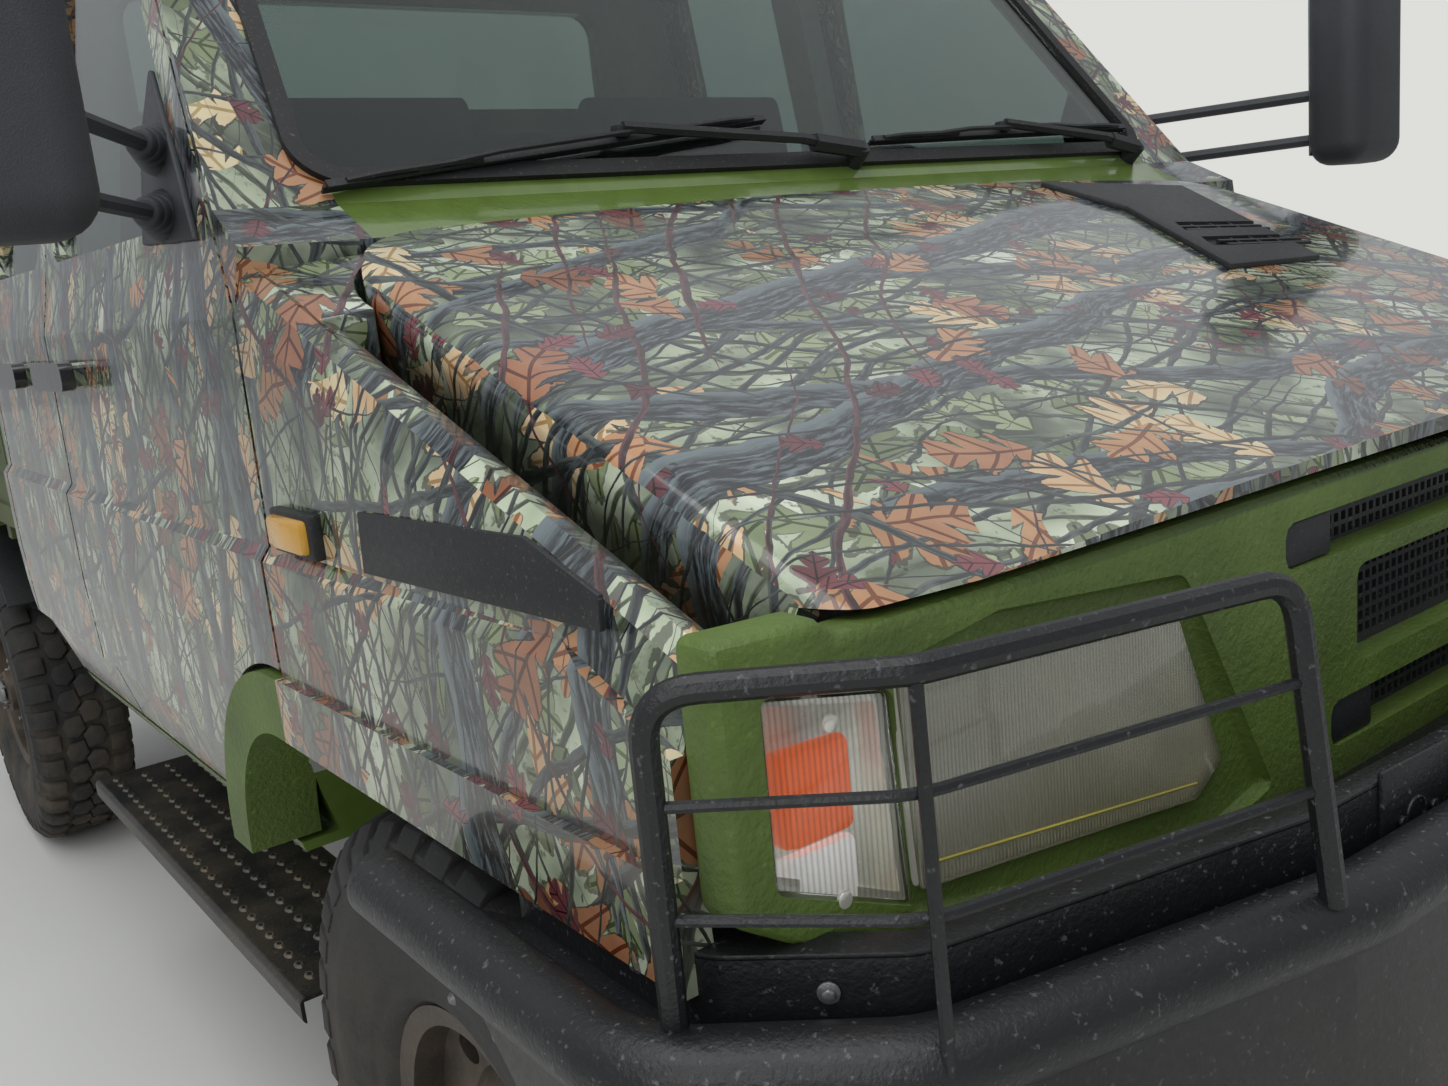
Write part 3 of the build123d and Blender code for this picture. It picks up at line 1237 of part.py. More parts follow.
# Rear mudguards: arcs over the rear wheels, hung from the bed
GUARD_INNER_RADIUS = 500
with BuildPart() as rear_mudguards:
    for side in SIDES.values():
        with BuildSketch(along(side * WHEEL_X - 118)):
            with BuildLine():
                spread = (GUARD_INNER_RADIUS * sin(radians(52)), GUARD_INNER_RADIUS * cos(radians(52)))
                outer = GUARD_INNER_RADIUS + 6
                outer_spread = (outer * sin(radians(52)), outer * cos(radians(52)))
                ThreePointArc(
                    (WHEELBASE - spread[0], TYRE_RADIUS + spread[1]),
                    (WHEELBASE, TYRE_RADIUS + GUARD_INNER_RADIUS),
                    (WHEELBASE + spread[0], TYRE_RADIUS + spread[1]),
                )
                ThreePointArc(
                    (WHEELBASE - outer_spread[0], TYRE_RADIUS + outer_spread[1]),
                    (WHEELBASE, TYRE_RADIUS + outer),
                    (WHEELBASE + outer_spread[0], TYRE_RADIUS + outer_spread[1]),
                )
                for sign in (-1, 1):
                    Line(
                        (WHEELBASE + sign * spread[0], TYRE_RADIUS + spread[1]),
                        (WHEELBASE + sign * outer_spread[0], TYRE_RADIUS + outer_spread[1]),
                    )
            make_face()
        extrude(amount=236)
        with BuildSketch(along(side * WHEEL_X - 100)):
            bracket_low = TYRE_RADIUS + GUARD_INNER_RADIUS + 3
            bracket_high = BEARER_TOP - SEAT_GAP
            with Locations((WHEELBASE, (bracket_low + bracket_high) / 2)):
                Rectangle(50, bracket_high - bracket_low)
        extrude(amount=200)
finish(rear_mudguards, "rear_mudguards")
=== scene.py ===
import json
from math import atan2, cos, pi, radians, sin

import bpy
from mathutils import Matrix, Vector


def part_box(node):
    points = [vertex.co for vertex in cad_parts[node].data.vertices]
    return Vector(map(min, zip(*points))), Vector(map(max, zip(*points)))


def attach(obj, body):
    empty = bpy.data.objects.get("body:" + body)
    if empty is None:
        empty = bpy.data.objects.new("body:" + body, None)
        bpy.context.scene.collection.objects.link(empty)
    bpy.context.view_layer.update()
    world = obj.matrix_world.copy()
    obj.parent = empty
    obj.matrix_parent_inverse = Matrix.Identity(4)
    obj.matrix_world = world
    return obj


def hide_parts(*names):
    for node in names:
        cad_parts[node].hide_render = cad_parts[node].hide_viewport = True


# Looks of a light off-road truck: camouflage wrap, rough green paint, black steel and ribbed lamps.
# Lengths are metres. X runs to the vehicle's left, Y to its rear, Z up.

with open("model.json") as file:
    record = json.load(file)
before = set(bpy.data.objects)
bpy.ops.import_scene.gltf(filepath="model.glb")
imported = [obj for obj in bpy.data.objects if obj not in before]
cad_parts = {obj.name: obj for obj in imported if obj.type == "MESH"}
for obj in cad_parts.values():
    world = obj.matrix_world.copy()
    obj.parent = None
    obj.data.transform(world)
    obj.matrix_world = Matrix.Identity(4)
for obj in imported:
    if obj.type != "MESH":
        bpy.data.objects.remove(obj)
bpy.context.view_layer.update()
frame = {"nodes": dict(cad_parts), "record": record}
bpy.ops.object.select_all(action="DESELECT")

NODES = frame["nodes"]
SIDES = {"left": 1, "right": -1}
WHEELS = [f"{end}_{side}" for end in ("front", "rear") for side in SIDES]


def middle(name):
    """Centre of a CAD node's box."""
    low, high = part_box(name)
    return (low + high) / 2


FRONT_AXLE = middle("rim_front_left").y
CAB_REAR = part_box("cab_shell")[1].y
ROOF_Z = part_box("cab_shell")[1].z

# Bonnet: station of its rear edge, and fall per metre toward the nose
BONNET_REAR = 0.242
BONNET_SLOPE = 0.385

# Windscreen: station and height of its foot, and run back per metre of height
SCREEN_STATION = 0.32
SCREEN_FOOT = 1.549
SCREEN_SLOPE = 0.7898

# Cab: half width at the belt and its loss per metre above, the skin, the lining and the room inside
BELT_Z = 1.5
BELT_HALF_WIDTH = 0.955
CAB_LEAN = 0.1732
SKIN_DEPTH = 0.004
LINING_DEPTH = 0.0445
ROOF_BAND = 0.075
ROOM_FRONT, ROOM_REAR, ROOM_FLOOR = 0.2745, 1.8355, 0.8295

# Door handles stand off the skin between these heights
HANDLE_X = 0.9875
HANDLE_Z = (1.335, 1.395)


def at(station):
    """Y of a station behind the front axle."""
    return FRONT_AXLE + station


def spot(x, station, z):
    """A place from its width, station and height."""
    return Vector((x, at(station), z))


# Node helpers


class Value:
    """What a shader socket gives. Each sum or comparison of values adds a Math node."""

    def __init__(self, socket):
        self.socket = socket
        self.tree = socket.id_data

    def __add__(self, other):
        return maths("ADD", self, other)

    def __sub__(self, other):
        return maths("SUBTRACT", self, other)

    def __rsub__(self, other):
        return maths("SUBTRACT", other, self)

    def __mul__(self, other):
        return maths("MULTIPLY", self, other)

    def __truediv__(self, other):
        return maths("DIVIDE", self, other)

    def __rtruediv__(self, other):
        return maths("DIVIDE", other, self)

    def __lt__(self, other):
        return maths("LESS_THAN", self, other)

    def __gt__(self, other):
        return maths("GREATER_THAN", self, other)

    def __abs__(self):
        return maths("ABSOLUTE", self)

    __radd__ = __add__
    __rmul__ = __mul__


def srgb(text):
    """Linear colour from a hex colour as seen."""
    channels = [int(text[k : k + 2], 16) / 255 for k in (0, 2, 4)]
    return (*[c / 12.92 if c <= 0.04045 else ((c + 0.055) / 1.055) ** 2.4 for c in channels], 1.0)


def feed(receiver, inputs):
    """Link values to a node's inputs, or set numbers and hex colours there."""
    for key, value in inputs.items():
        if isinstance(value, Value):
            receiver.id_data.links.new(value.socket, receiver.inputs[key])
        else:
            receiver.inputs[key].default_value = srgb(value) if isinstance(value, str) else value


def node(tree, kind, inputs=None, **settings):
    """Add a shader node, set its options, and set or link its inputs."""
    made = tree.nodes.new(f"ShaderNode{kind}")
    for name, value in settings.items():
        setattr(made, name, value)
    feed(made, inputs or {})
    return made


def result(tree, kind, inputs=None, out=0, **settings):
    """One output of a new node."""
    return Value(node(tree, kind, inputs, **settings).outputs[out])


def tree_of(*values):
    """The tree that the values among some values and numbers belong to."""
    return next(value.tree for value in values if isinstance(value, Value))


def maths(operation, *values, clamp=False):
    """A Math node's result."""
    inputs = dict(enumerate(values))
    return result(tree_of(*values), "Math", inputs, operation=operation, use_clamp=clamp)


def greatest(first, *others):
    """The largest of several values."""
    for other in others:
        first = maths("MAXIMUM", first, other)
    return first


def mixed(factor, first, second, mode="MIX"):
    """A colour mixed from two colours."""
    inputs = {0: factor, 6: first, 7: second}
    tree = tree_of(factor, first, second)
    return result(tree, "Mix", inputs, 2, data_type="RGBA", blend_type=mode)


def picked(factor, first, second):
    """The first number where the factor is 0, the second where it is 1."""
    return result(factor.tree, "Mix", {0: factor, 2: first, 3: second}, data_type="FLOAT")


def step_between(value, low, high):
    """0 at low, 1 at high, and smooth between them."""
    inputs = {"Value": value, "From Min": low, "From Max": high}
    return result(value.tree, "MapRange", inputs, interpolation_type="SMOOTHSTEP")


def noise(vector, scale, detail=3.0, roughness=0.5):
    """A noise value at a scale per metre."""
    inputs = {"Vector": vector, "Scale": scale, "Detail": detail, "Roughness": roughness}
    return result(vector.tree, "TexNoise", inputs)


def ramp(factor, stops):
    """A colour ramp's colour. Stops are (position, colour) pairs, in hex or linear colours."""
    made = node(factor.tree, "ValToRGB", {0: factor})
    elements = made.color_ramp.elements
    for number, (position, colour) in enumerate(stops):
        element = elements[number] if number < 2 else elements.new(position)
        element.position = position
        element.color = srgb(colour) if isinstance(colour, str) else colour
    return Value(made.outputs[0])


def object_place(tree):
    """The place on the object as it was made, so a look stays put when its piece moves."""
    return result(tree, "TexCoord", out="Object")


def parts_of(vector):
    """A vector's three numbers."""
    return [Value(socket) for socket in node(vector.tree, "SeparateXYZ", {0: vector}).outputs]


def joined(x, y, z=0.0):
    """A vector from its numbers."""
    return result(tree_of(x, y, z), "CombineXYZ", {0: x, 1: y, 2: z})


def rotated(vector, angle):
    """A vector turned about Z."""
    inputs = {"Vector": vector, "Angle": angle}
    return result(vector.tree, "VectorRotate", inputs, rotation_type="Z_AXIS")


def new_group(name, inputs, outputs, kind="Float"):
    """An empty shader group with float inputs: (its tree, its input values by name, its output node)."""
    tree = bpy.data.node_groups.new(name, "ShaderNodeTree")
    for label in inputs:
        tree.interface.new_socket(name=label, in_out="INPUT", socket_type="NodeSocketFloat")
    for label in outputs:
        tree.interface.new_socket(name=label, in_out="OUTPUT", socket_type=f"NodeSocket{kind}")
    given = {socket.name: Value(socket) for socket in tree.nodes.new("NodeGroupInput").outputs}
    return tree, given, tree.nodes.new("NodeGroupOutput")


def use_group(tree, group, **inputs):
    """A shader group's results by name."""
    made = node(tree, "Group", inputs, node_tree=group)
    return {socket.name: Value(socket) for socket in made.outputs}


# Effects that several materials share


def branch_group():
    """Long tapering branches side by side: their mask, the side across each branch and its bark."""
    inputs = ("P", "Q", "Turn", "Spacing", "Width", "Seed", "Share")
    tree, given, out = new_group("branch_layer", inputs, ("Mask", "Flank", "Bark"))
    spacing, seed = given["Spacing"], given["Seed"]
    flat = joined(given["P"], given["Q"], seed)
    along, across, _ = parts_of(rotated(flat, given["Turn"]))
    sway = (noise(flat, 1.7, 1.0) - 0.5) * 0.26
    crook = (noise(flat, 14.0, 2.0) - 0.5) * 0.022
    swayed = across + sway + crook
    row = swayed / spacing
    number = maths("FLOOR", row)
    key = {"Vector": joined(number, seed)}
    chance = result(tree, "TexWhiteNoise", key, "Color", noise_dimensions="2D")
    shift, girth, _ = parts_of(chance)
    line = 0.3 + shift * 0.4
    offset = (maths("FRACT", row) - line) * spacing
    present = noise(joined(along * 1.1, number * 7.3, seed), 1.6, 0.0)
    threshold = 1.0 - given["Share"]
    taper = step_between(present, threshold * 0.9, threshold + 0.16)
    knots = 0.75 + noise(flat, 26.0, 2.0) * 0.5
    width = given["Width"] * (0.35 + girth) * taper * knots
    flank = offset / maths("MAXIMUM", width, 0.0005)
    bark = noise(joined(along * 0.16, swayed, seed), 160.0, 3.0, 0.7)
    feed(out, {"Mask": abs(offset) < width, "Flank": flank, "Bark": bark})
    return tree


def leaf_group():
    """Scattered lobed leaves: mask, dark rim, tone of each leaf and its veins."""
    inputs = ("P", "Q", "Cell", "Size", "Share", "Seed")
    tree, given, out = new_group("leaf_layer", inputs, ("Mask", "Rim", "Tone", "Vein"))
    cell, seed = given["Cell"], given["Seed"]
    flat = joined(given["P"], given["Q"])
    scaled = result(tree, "VectorMath", {0: flat, 3: 1.0 / cell}, operation="SCALE")
    shift = joined(seed, seed * 1.7)
    moved = result(tree, "VectorMath", {0: scaled, 1: shift}, operation="ADD")
    pattern = {"Vector": moved, "Scale": 1.0, "Randomness": 0.85}
    cells = node(tree, "TexVoronoi", pattern, voronoi_dimensions="2D")
    centre = Value(cells.outputs["Position"])
    local = result(tree, "VectorMath", {0: moved, 1: centre}, operation="SUBTRACT")
    spin, chance, tone = parts_of(Value(cells.outputs["Color"]))
    across, along, _ = parts_of(rotated(local, spin * (2 * pi)))
    unit = cell / given["Size"]
    bend = (noise(flat, 9.0, 1.0) - 0.5) * 0.5
    length = along * unit
    girth = abs(across * unit + bend)
    sweep = length - girth * 0.8
    lobe = abs(maths("SINE", sweep * 4.6))
    blade = maths("SUBTRACT", 1.0, length * length, clamp=True)
    ragged = 0.55 + noise(flat, 70.0, 2.0, 0.6) * 0.9
    edge = (0.14 + maths("POWER", lobe, 0.9) * 0.56) * ragged * blade
    crowd = (noise(moved, 0.4, 1.0) - 0.5) * 2.4
    kept = (chance - crowd) < given["Share"]
    mask = (girth < edge) * kept
    shadow = edge * 1.12 + blade * 0.06
    rim = (girth < shadow) * kept
    vein = greatest(girth < 0.035, lobe > 0.985)
    feed(out, {"Mask": mask, "Rim": rim, "Tone": tone, "Vein": vein})
    return tree


def camouflage_group():
    """Branch-and-leaf camouflage over sage ground, laid flat on tops, sides and fronts."""
    tree, _, out = new_group("branch_and_leaf", (), ("Color",), "Color")
    branch, leaf = branch_group(), leaf_group()
    x, y, z = parts_of(object_place(tree))
    _, to_front, to_top = parts_of(result(tree, "TexCoord", out="Normal"))
    is_front = abs(to_front) > 0.72
    is_top = (abs(to_top) > 0.6) * (1.0 - is_front)
    p = picked(is_front, y, x)
    q = picked(is_top, z, x)
    flat = joined(p, q)
    blotches = [(0.32, "363E33"), (0.44, "687260"), (0.54, "98A28A"), (0.7, "BFC6B4")]
    colour = ramp(noise(flat, 7.0, 3.0), blotches)
    speckle = step_between(noise(flat, 46.0, 3.0, 0.7), 0.55, 0.66)
    colour = mixed(speckle, colour, "5A654D")

    def branches(under, turn, spacing, width, seed, share, dark, light):
        """Lay one set of branches over what is under it."""
        sizes = {"Turn": radians(turn), "Spacing": spacing, "Width": width, "Seed": seed, "Share": share}
        layer = use_group(tree, branch, P=p, Q=q, **sizes)
        bark = mixed(step_between(layer["Bark"], 0.42, 0.68), dark, light)
        lit = mixed(step_between(layer["Flank"], 0.25, 0.95), bark, light)
        return mixed(layer["Mask"], under, lit)

    def leaves(under, cell, size, share, seed, tones, rim):
        """Lay one set of leaves over what is under it."""
        layer = use_group(tree, leaf, P=p, Q=q, Cell=cell, Size=size, Share=share, Seed=seed)
        tone = layer["Tone"] * 0.7 + noise(flat, 30.0, 2.0) * 0.35
        blade = mixed(layer["Vein"], ramp(tone, tones), rim, "SOFT_LIGHT")
        under = mixed(layer["Rim"] * 0.75, under, rim)
        return mixed(layer["Mask"], under, blade)

    sage = [(0.1, "48543A"), (0.5, "727E5C"), (0.9, "9AA484")]
    tan = [(0.1, "80593A"), (0.4, "A67C57"), (0.65, "B89C78"), (0.9, "C9BE9C")]
    rust = [(0.1, "5A3827"), (0.45, "8C5C40"), (0.85, "AC8460")]
    maroon = [(0.1, "4A2429"), (0.9, "7C4148")]
    for lay, *settings in (
        (branches, 62, 0.036, 0.0042, 3.1, 0.7, "343A30", "5A644F"),
        (leaves, 0.1, 0.055, 0.7, 4.2, sage, "2E3626"),
        (branches, 118, 0.042, 0.0038, 7.7, 0.68, "262A2A", "4A504A"),
        (leaves, 0.12, 0.064, 0.24, 31.4, tan, "2A221C"),
        (branches, 98, 0.05, 0.0052, 21.3, 0.66, "212526", "535B5A"),
        (branches, 80, 0.15, 0.02, 1.3, 0.62, "171B1F", "5E686B"),
        (leaves, 0.105, 0.056, 0.18, 9.5, tan, "2A221C"),
        (branches, 20, 0.09, 0.0058, 5.9, 0.56, "202426", "4E5554"),
        (branches, 44, 0.065, 0.0042, 13.9, 0.58, "1B2021", "474E4C"),
        (branches, 103, 0.24, 0.03, 11.7, 0.62, "15191D", "626D70"),
        (leaves, 0.11, 0.058, 0.16, 15.1, rust, "211813"),
        (branches, 140, 0.075, 0.0032, 2.4, 0.54, "32201F", "5E3A3E"),
        (leaves, 0.07, 0.026, 0.2, 6.6, maroon, "1E1214"),
        (branches, 72, 0.05, 0.0028, 17.2, 0.6, "16191A", "3C4240"),
    ):
        colour = lay(colour, *settings)
    feed(out, {"Color": colour})
    return tree


def grime_group():
    """Dust and mud that thin out upward: a mask, and a fine noise for roughness."""
    tree, given, out = new_group("road_grime", ("Top", "Amount"), ("Mask", "Fine"))
    place = object_place(tree)
    low = maths("SUBTRACT", 1.0, parts_of(place)[2] / given["Top"], clamp=True)
    patch = step_between(noise(place, 9.0, 4.0, 0.65), 0.35, 0.7)
    mask = maths("MULTIPLY", low * patch, given["Amount"], clamp=True)
    feed(out, {"Mask": mask, "Fine": noise(place, 120.0, 2.0)})
    return tree


CAMOUFLAGE = camouflage_group()
GRIME = grime_group()
DUST = "8B7A62"
COAT_ROUGHNESS = 0.06


def shader(name, transmission=0.0, metallic=0.0, coat=0.0, ior=1.45):
    """A material with its Principled shader: (material, tree, shader)."""
    material = bpy.data.materials.new(name)
    material.use_nodes = True
    surface = material.node_tree.nodes["Principled BSDF"]
    feed(surface, {"Transmission Weight": transmission, "Metallic": metallic, "IOR": ior})
    feed(surface, {"Coat Weight": coat, "Coat Roughness": COAT_ROUGHNESS})
    return material, material.node_tree, surface


def finish(surface, colour, roughness, height, depth):
    """Give a shader its colour, its roughness and a height in relief."""
    inputs = {"Height": height, "Distance": depth, "Strength": 1.0}
    normal = result(surface.id_data, "Bump", inputs)
    feed(surface, {"Base Color": colour, "Roughness": roughness, "Normal": normal})


def plain(name, colour, roughness, grain, depth, worn, grime_top, grime, metallic=0.0, coat=0.0):
    """Paint, plastic, rubber or metal: uneven tone, a fine grain in relief, and road grime low down."""
    material, tree, surface = shader(name, metallic=metallic, coat=coat)
    place = object_place(tree)
    base = srgb(colour)
    darker = (*[c * 0.62 for c in base[:3]], 1.0)
    tone = mixed(step_between(noise(place, 5.0, 4.0), 0.3, 0.75), darker, base)
    speck = step_between(noise(place, grain * 0.7, 2.0, 0.6), 0.62, 0.74)
    tone = mixed(speck * 0.35, tone, worn or DUST)
    dirt = use_group(tree, GRIME, Top=grime_top, Amount=grime)
    uneven = (roughness - 0.06) + dirt["Fine"] * 0.16
    rough = maths("ADD", uneven, dirt["Mask"] * 0.4, clamp=True)
    finish(surface, mixed(dirt["Mask"], tone, DUST), rough, noise(place, grain, 3.0, 0.6), depth)
    return material


def wrap_material(name="camo_wrap", shade_of=None):
    """Glossy printed wrap with dust low on the doors, and their handles picked out in black. With shade_of,
    painted shade darkens a groove: under the bonnet's edge, inside the wing's.
    """
    material, tree, surface = shader(name, coat=0.55)
    place = object_place(tree)
    x, y, z = parts_of(place)
    colour = use_group(tree, CAMOUFLAGE)["Color"]
    if shade_of:
        # Painted shade where it turns down into a groove: under the bonnet's edge, inside the wing's
        if shade_of == "bonnet":
            skin = 1.52 - (at(BONNET_REAR) - y) * BONNET_SLOPE
            dark = step_between(skin - z, 0.03, 0.085)
        else:
            dark = step_between(abs(x), 0.932, 0.922)
        colour = mixed(dark * 0.86, colour, "15170F")
    dirt = use_group(tree, GRIME, Top=1.25, Amount=0.85)
    colour = mixed(dirt["Mask"], colour, DUST)
    grip = (abs(x) > HANDLE_X) * (z > HANDLE_Z[0]) * (z < HANDLE_Z[1])
    colour = mixed(grip, colour, "1A1B1D")
    finish(surface, colour, 0.2 + dirt["Mask"] * 0.5, noise(place, 18.0, 2.0), 0.0006)
    return material


def cab_material():
    """The cab: wrap on its outer skin, green in the door gaps and grey lining inside."""
    material, tree, surface = shader("cab_shell", coat=0.5)
    place = object_place(tree)
    x, y, z = parts_of(place)
    above = greatest(z - BELT_Z, 0.0)
    depth = BELT_HALF_WIDTH - above * CAB_LEAN - abs(x)
    screen_line = at(SCREEN_STATION) + (z - SCREEN_FOOT) * SCREEN_SLOPE
    foot = (abs(x) > 0.8) * (z > 1.49)
    pillar = (y < screen_line + 2 * SKIN_DEPTH) * greatest(z > 1.575, foot)
    corner = (y < at(0.231)) * (z > 1.3)
    outer = greatest(depth < SKIN_DEPTH, pillar, z > ROOF_Z - ROOF_BAND, y > CAB_REAR - SKIN_DEPTH, corner)
    room = (y > at(ROOM_FRONT)) * (y < at(ROOM_REAR)) * (z < ROOF_Z - LINING_DEPTH) * (z > ROOM_FLOOR)
    inside = (depth > LINING_DEPTH) * room * (y > screen_line + 0.055)
    green = mixed(noise(place, 24.0, 3.0), "4C5F27", "62783A")
    colour = mixed(outer, green, use_group(tree, CAMOUFLAGE)["Color"])
    lining = mixed(noise(place, 60.0, 3.0), "8F938F", "A5A8A3")
    colour = mixed(inside, colour, lining)
    finish(surface, colour, 0.24 + inside * 0.5, noise(place, 90.0, 2.0), 0.0004)
    return material


def glass_material():
    """Thin window glass with a little dust."""
    material, tree, surface = shader("pane", transmission=1.0)
    film = step_between(noise(object_place(tree), 4.0, 5.0, 0.7), 0.45, 0.85)
    feed(surface, {"Base Color": mixed(film * 0.3, "A9BAB2", "C9CEC8"), "Roughness": 0.0})
    return material


def lens_material(name, tint, clearness, pitch, relief):
    """Moulded lamp glass with upright flutes of one pitch and painted shade across each flute, aged a
    little toward its lower edge.
    """
    material, tree, surface = shader(name, transmission=clearness, coat=0.6, ior=1.3)
    place = object_place(tree)
    x, _, z = parts_of(place)
    flute = abs(maths("SINE", x * (pi / pitch)))
    haze = step_between(noise(place, 7.0, 4.0, 0.6), 0.35, 0.8)
    aged = step_between(z, 1.06, 0.93)
    colour = mixed(aged * 0.55, tint, "A39C6C")
    colour = mixed(haze * 0.3, colour, "F2F2EA")
    # Painted shade across the flutes, darkest where two flutes meet
    shade = 0.62 + flute * 0.38
    colour = mixed(1.0, colour, joined(shade, shade, shade), "MULTIPLY")
    finish(surface, colour, 0.08 + haze * 0.14, flute, relief)
    return material


LOOKS = {
    "camo_wrap": wrap_material(),
    "cab_shell": cab_material(),
    "pane": glass_material(),
    "lamp_glass": lens_material("headlamp_lens", "DADACB", 0.78, 0.004, 0.0005),
    "signal_glass": lens_material("signal_glass", "FFFFFF", 1.0, 0.005, 0.0001),
}
for name, *settings in (
    # Colour, roughness, grain per metre, its depth, worn colour, grime's top and amount, metal, coat
    ("olive_paint", "5A7030", 0.5, 130.0, 0.0022, "6E8540", 0.9, 0.15),
    ("black_steel", "1B1C1E", 0.38, 210.0, 0.0009, "77787A", 0.9, 0.3),
    ("chassis_black", "1E1F20", 0.62, 160.0, 0.0008, None, 0.95, 0.8),
    ("engine_grey", "55585A", 0.6, 120.0, 0.001, None, 1.2, 0.5, 0.6),
    ("rim_steel", "4A443E", 0.5, 140.0, 0.0008, "8A5A3A", 0.9, 0.6, 0.3),
    ("tyre_rubber", "2B2B2B", 0.72, 260.0, 0.0007, "55524C", 0.8, 0.35),
    ("black_rubber", "17181A", 0.55, 300.0, 0.0003, None, 0.5, 0.2),
    ("black_plastic", "222427", 0.5, 420.0, 0.0004, None, 0.5, 0.2),
    ("dash_plastic", "3C3E40", 0.6, 380.0, 0.0005, None, 0.8, 0.1),
    ("seat_fabric", "2C2E31", 0.9, 520.0, 0.0012, None, 0.8, 0.05),
    ("bed_paint", "4A5A2B", 0.55, 90.0, 0.0012, "6D5A40", 1.3, 0.5),
    ("lamp_reflector", "D9D9D2", 0.22, 60.0, 0.0006, "B9B9AE", 0.8, 0.0, 0.85),
    ("white_reflector", "F2F2F0", 0.3, 140.0, 0.0012, "D8D8D6", 0.8, 0.0),
    ("lamp_seal", "B5AC4A", 0.4, 160.0, 0.0004, "8E863A", 0.8, 0.0),
    ("nut_steel", "8D8F90", 0.42, 200.0, 0.0006, "7A5A3C", 0.7, 0.6, 0.8),
    ("step_steel", "6A6862", 0.5, 180.0, 0.0008, "8E877B", 1.2, 0.9, 0.5),
    ("repeater_lens", "E0A83A", 0.22, 60.0, 0.0004, "B87410", 0.8, 0.0, 0.0, 0.7),
    ("red_lens", "A81E16", 0.22, 60.0, 0.0004, "D2483A", 1.4, 0.2, 0.0, 0.7),
    ("mirror_plastic", "3A3D42", 0.55, 520.0, 0.0007, "4C5056", 0.5, 0.1),
    ("mirror_glass", "B8C2C6", 0.05, 6.0, 0.00002, "AEB6B8", 0.8, 0.0, 1.0),
    ("signal_lens", "F0731A", 0.2, 90.0, 0.0004, "FF9A3C", 0.8, 0.0, 0.0, 0.6),
):
    LOOKS[name] = plain(name, *settings)

# Painted light: bulbs and reflectors glow a little behind their lenses, to look lit
for name, colour, strength in (
    ("lamp_reflector", "D6D6CA", 0.16), ("white_reflector", "FFFFFF", 0.3), ("signal_lens", "F05A10", 0.35),
):
    surface = LOOKS[name].node_tree.nodes["Principled BSDF"]
    feed(surface, {"Emission Color": colour, "Emission Strength": strength})

for row in frame["record"]["subparts"]:
    cad = NODES[row["node"]]
    cad.data.materials.clear()
    cad.data.materials.append(LOOKS[row["material_slot"]])
NODES["cab_shell"].data.materials[0] = LOOKS["cab_shell"]
NODES["bonnet"].data.materials[0] = wrap_material("bonnet_wrap", "bonnet")
for side in SIDES:
    NODES[f"wing_{side}"].data.materials[0] = wrap_material(f"wing_wrap_{side}", "wing")


# Modelling helpers


def active(piece):
    """Select one piece alone."""
    bpy.ops.object.select_all(action="DESELECT")
    piece.select_set(True)
    bpy.context.view_layer.objects.active = piece
    return piece


def placed(piece):
    """Put a piece's place in its mesh."""
    active(piece)
    bpy.ops.object.transform_apply(location=True, rotation=True, scale=True)
    return piece


def settle(piece, name, slot, look=None, body="chassis", angle=35.0):
    """Put a piece's place in its mesh, smooth it, colour it and let it ride on a body."""
    placed(piece)
    bpy.ops.object.shade_smooth_by_angle(angle=radians(angle))
    piece.name = name
    piece.data.name = name
    piece.data.materials.clear()
    piece.data.materials.append(LOOKS[look or slot])
    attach(piece, body)
    return piece


def applied(piece, kind, **settings):
    """Add a modifier to a piece, set it and apply it."""
    modifier = piece.modifiers.new(kind.lower(), kind)
    for name, value in settings.items():
        setattr(modifier, name, value)
    active(piece)
    bpy.ops.object.modifier_apply(modifier=modifier.name)
    return piece


def bevelled(piece, width, segments=2):
    """Round a piece's edges; with no width they stay sharp."""
    if not width:
        return piece
    return applied(piece, "BEVEL", width=width, segments=segments, limit_method="ANGLE")


def cut(piece, cutter):
    """Take a cutter's shape out of a piece."""
    applied(piece, "BOOLEAN", object=cutter, operation="DIFFERENCE", solver="EXACT")
    bpy.data.objects.remove(cutter, do_unlink=True)
    return piece


def box(centre, size, bevel=0.0, turn=(0, 0, 0)):
    """A block with rounded edges."""
    bpy.ops.mesh.primitive_cube_add(size=1, location=centre, rotation=turn)
    piece = bpy.context.object
    piece.scale = size
    bpy.ops.object.transform_apply(location=False, rotation=False, scale=True)
    return bevelled(piece, bevel)


def rod(start, end, radius, tip_radius=None, sides=20, bevel=0.0):
    """A round or tapered rod between two points."""
    start, end = Vector(start), Vector(end)
    run = end - start
    bpy.ops.mesh.primitive_cone_add(
        vertices=sides, radius1=radius, radius2=radius if tip_radius is None else tip_radius,
        depth=run.length, location=(start + end) / 2, rotation=run.to_track_quat("Z", "Y").to_euler(),
    )
    return bevelled(bpy.context.object, bevel)


def merged(pieces):
    """Join several pieces into the first."""
    bpy.ops.object.select_all(action="DESELECT")
    for piece in pieces:
        piece.select_set(True)
    bpy.context.view_layer.objects.active = pieces[0]
    bpy.ops.object.join()
    return bpy.context.object


def outlined(points, fill):
    """A closed outline through points."""
    bpy.ops.mesh.primitive_circle_add(vertices=len(points), fill_type=fill)
    piece = bpy.context.object
    for vertex, point in zip(piece.data.vertices, points):
        vertex.co = point
    return piece


def edited(piece, *steps):
    """Do editing steps on the whole of a piece's mesh, one after another."""
    active(piece)
    bpy.ops.object.mode_set(mode="EDIT")
    for step, settings in steps:
        bpy.ops.mesh.select_all(action="SELECT")
        step(**settings)
    bpy.ops.object.mode_set(mode="OBJECT")
    return piece


def welding(gap):
    """The editing step that joins points closer than a gap."""
    return bpy.ops.mesh.remove_doubles, {"threshold": gap}


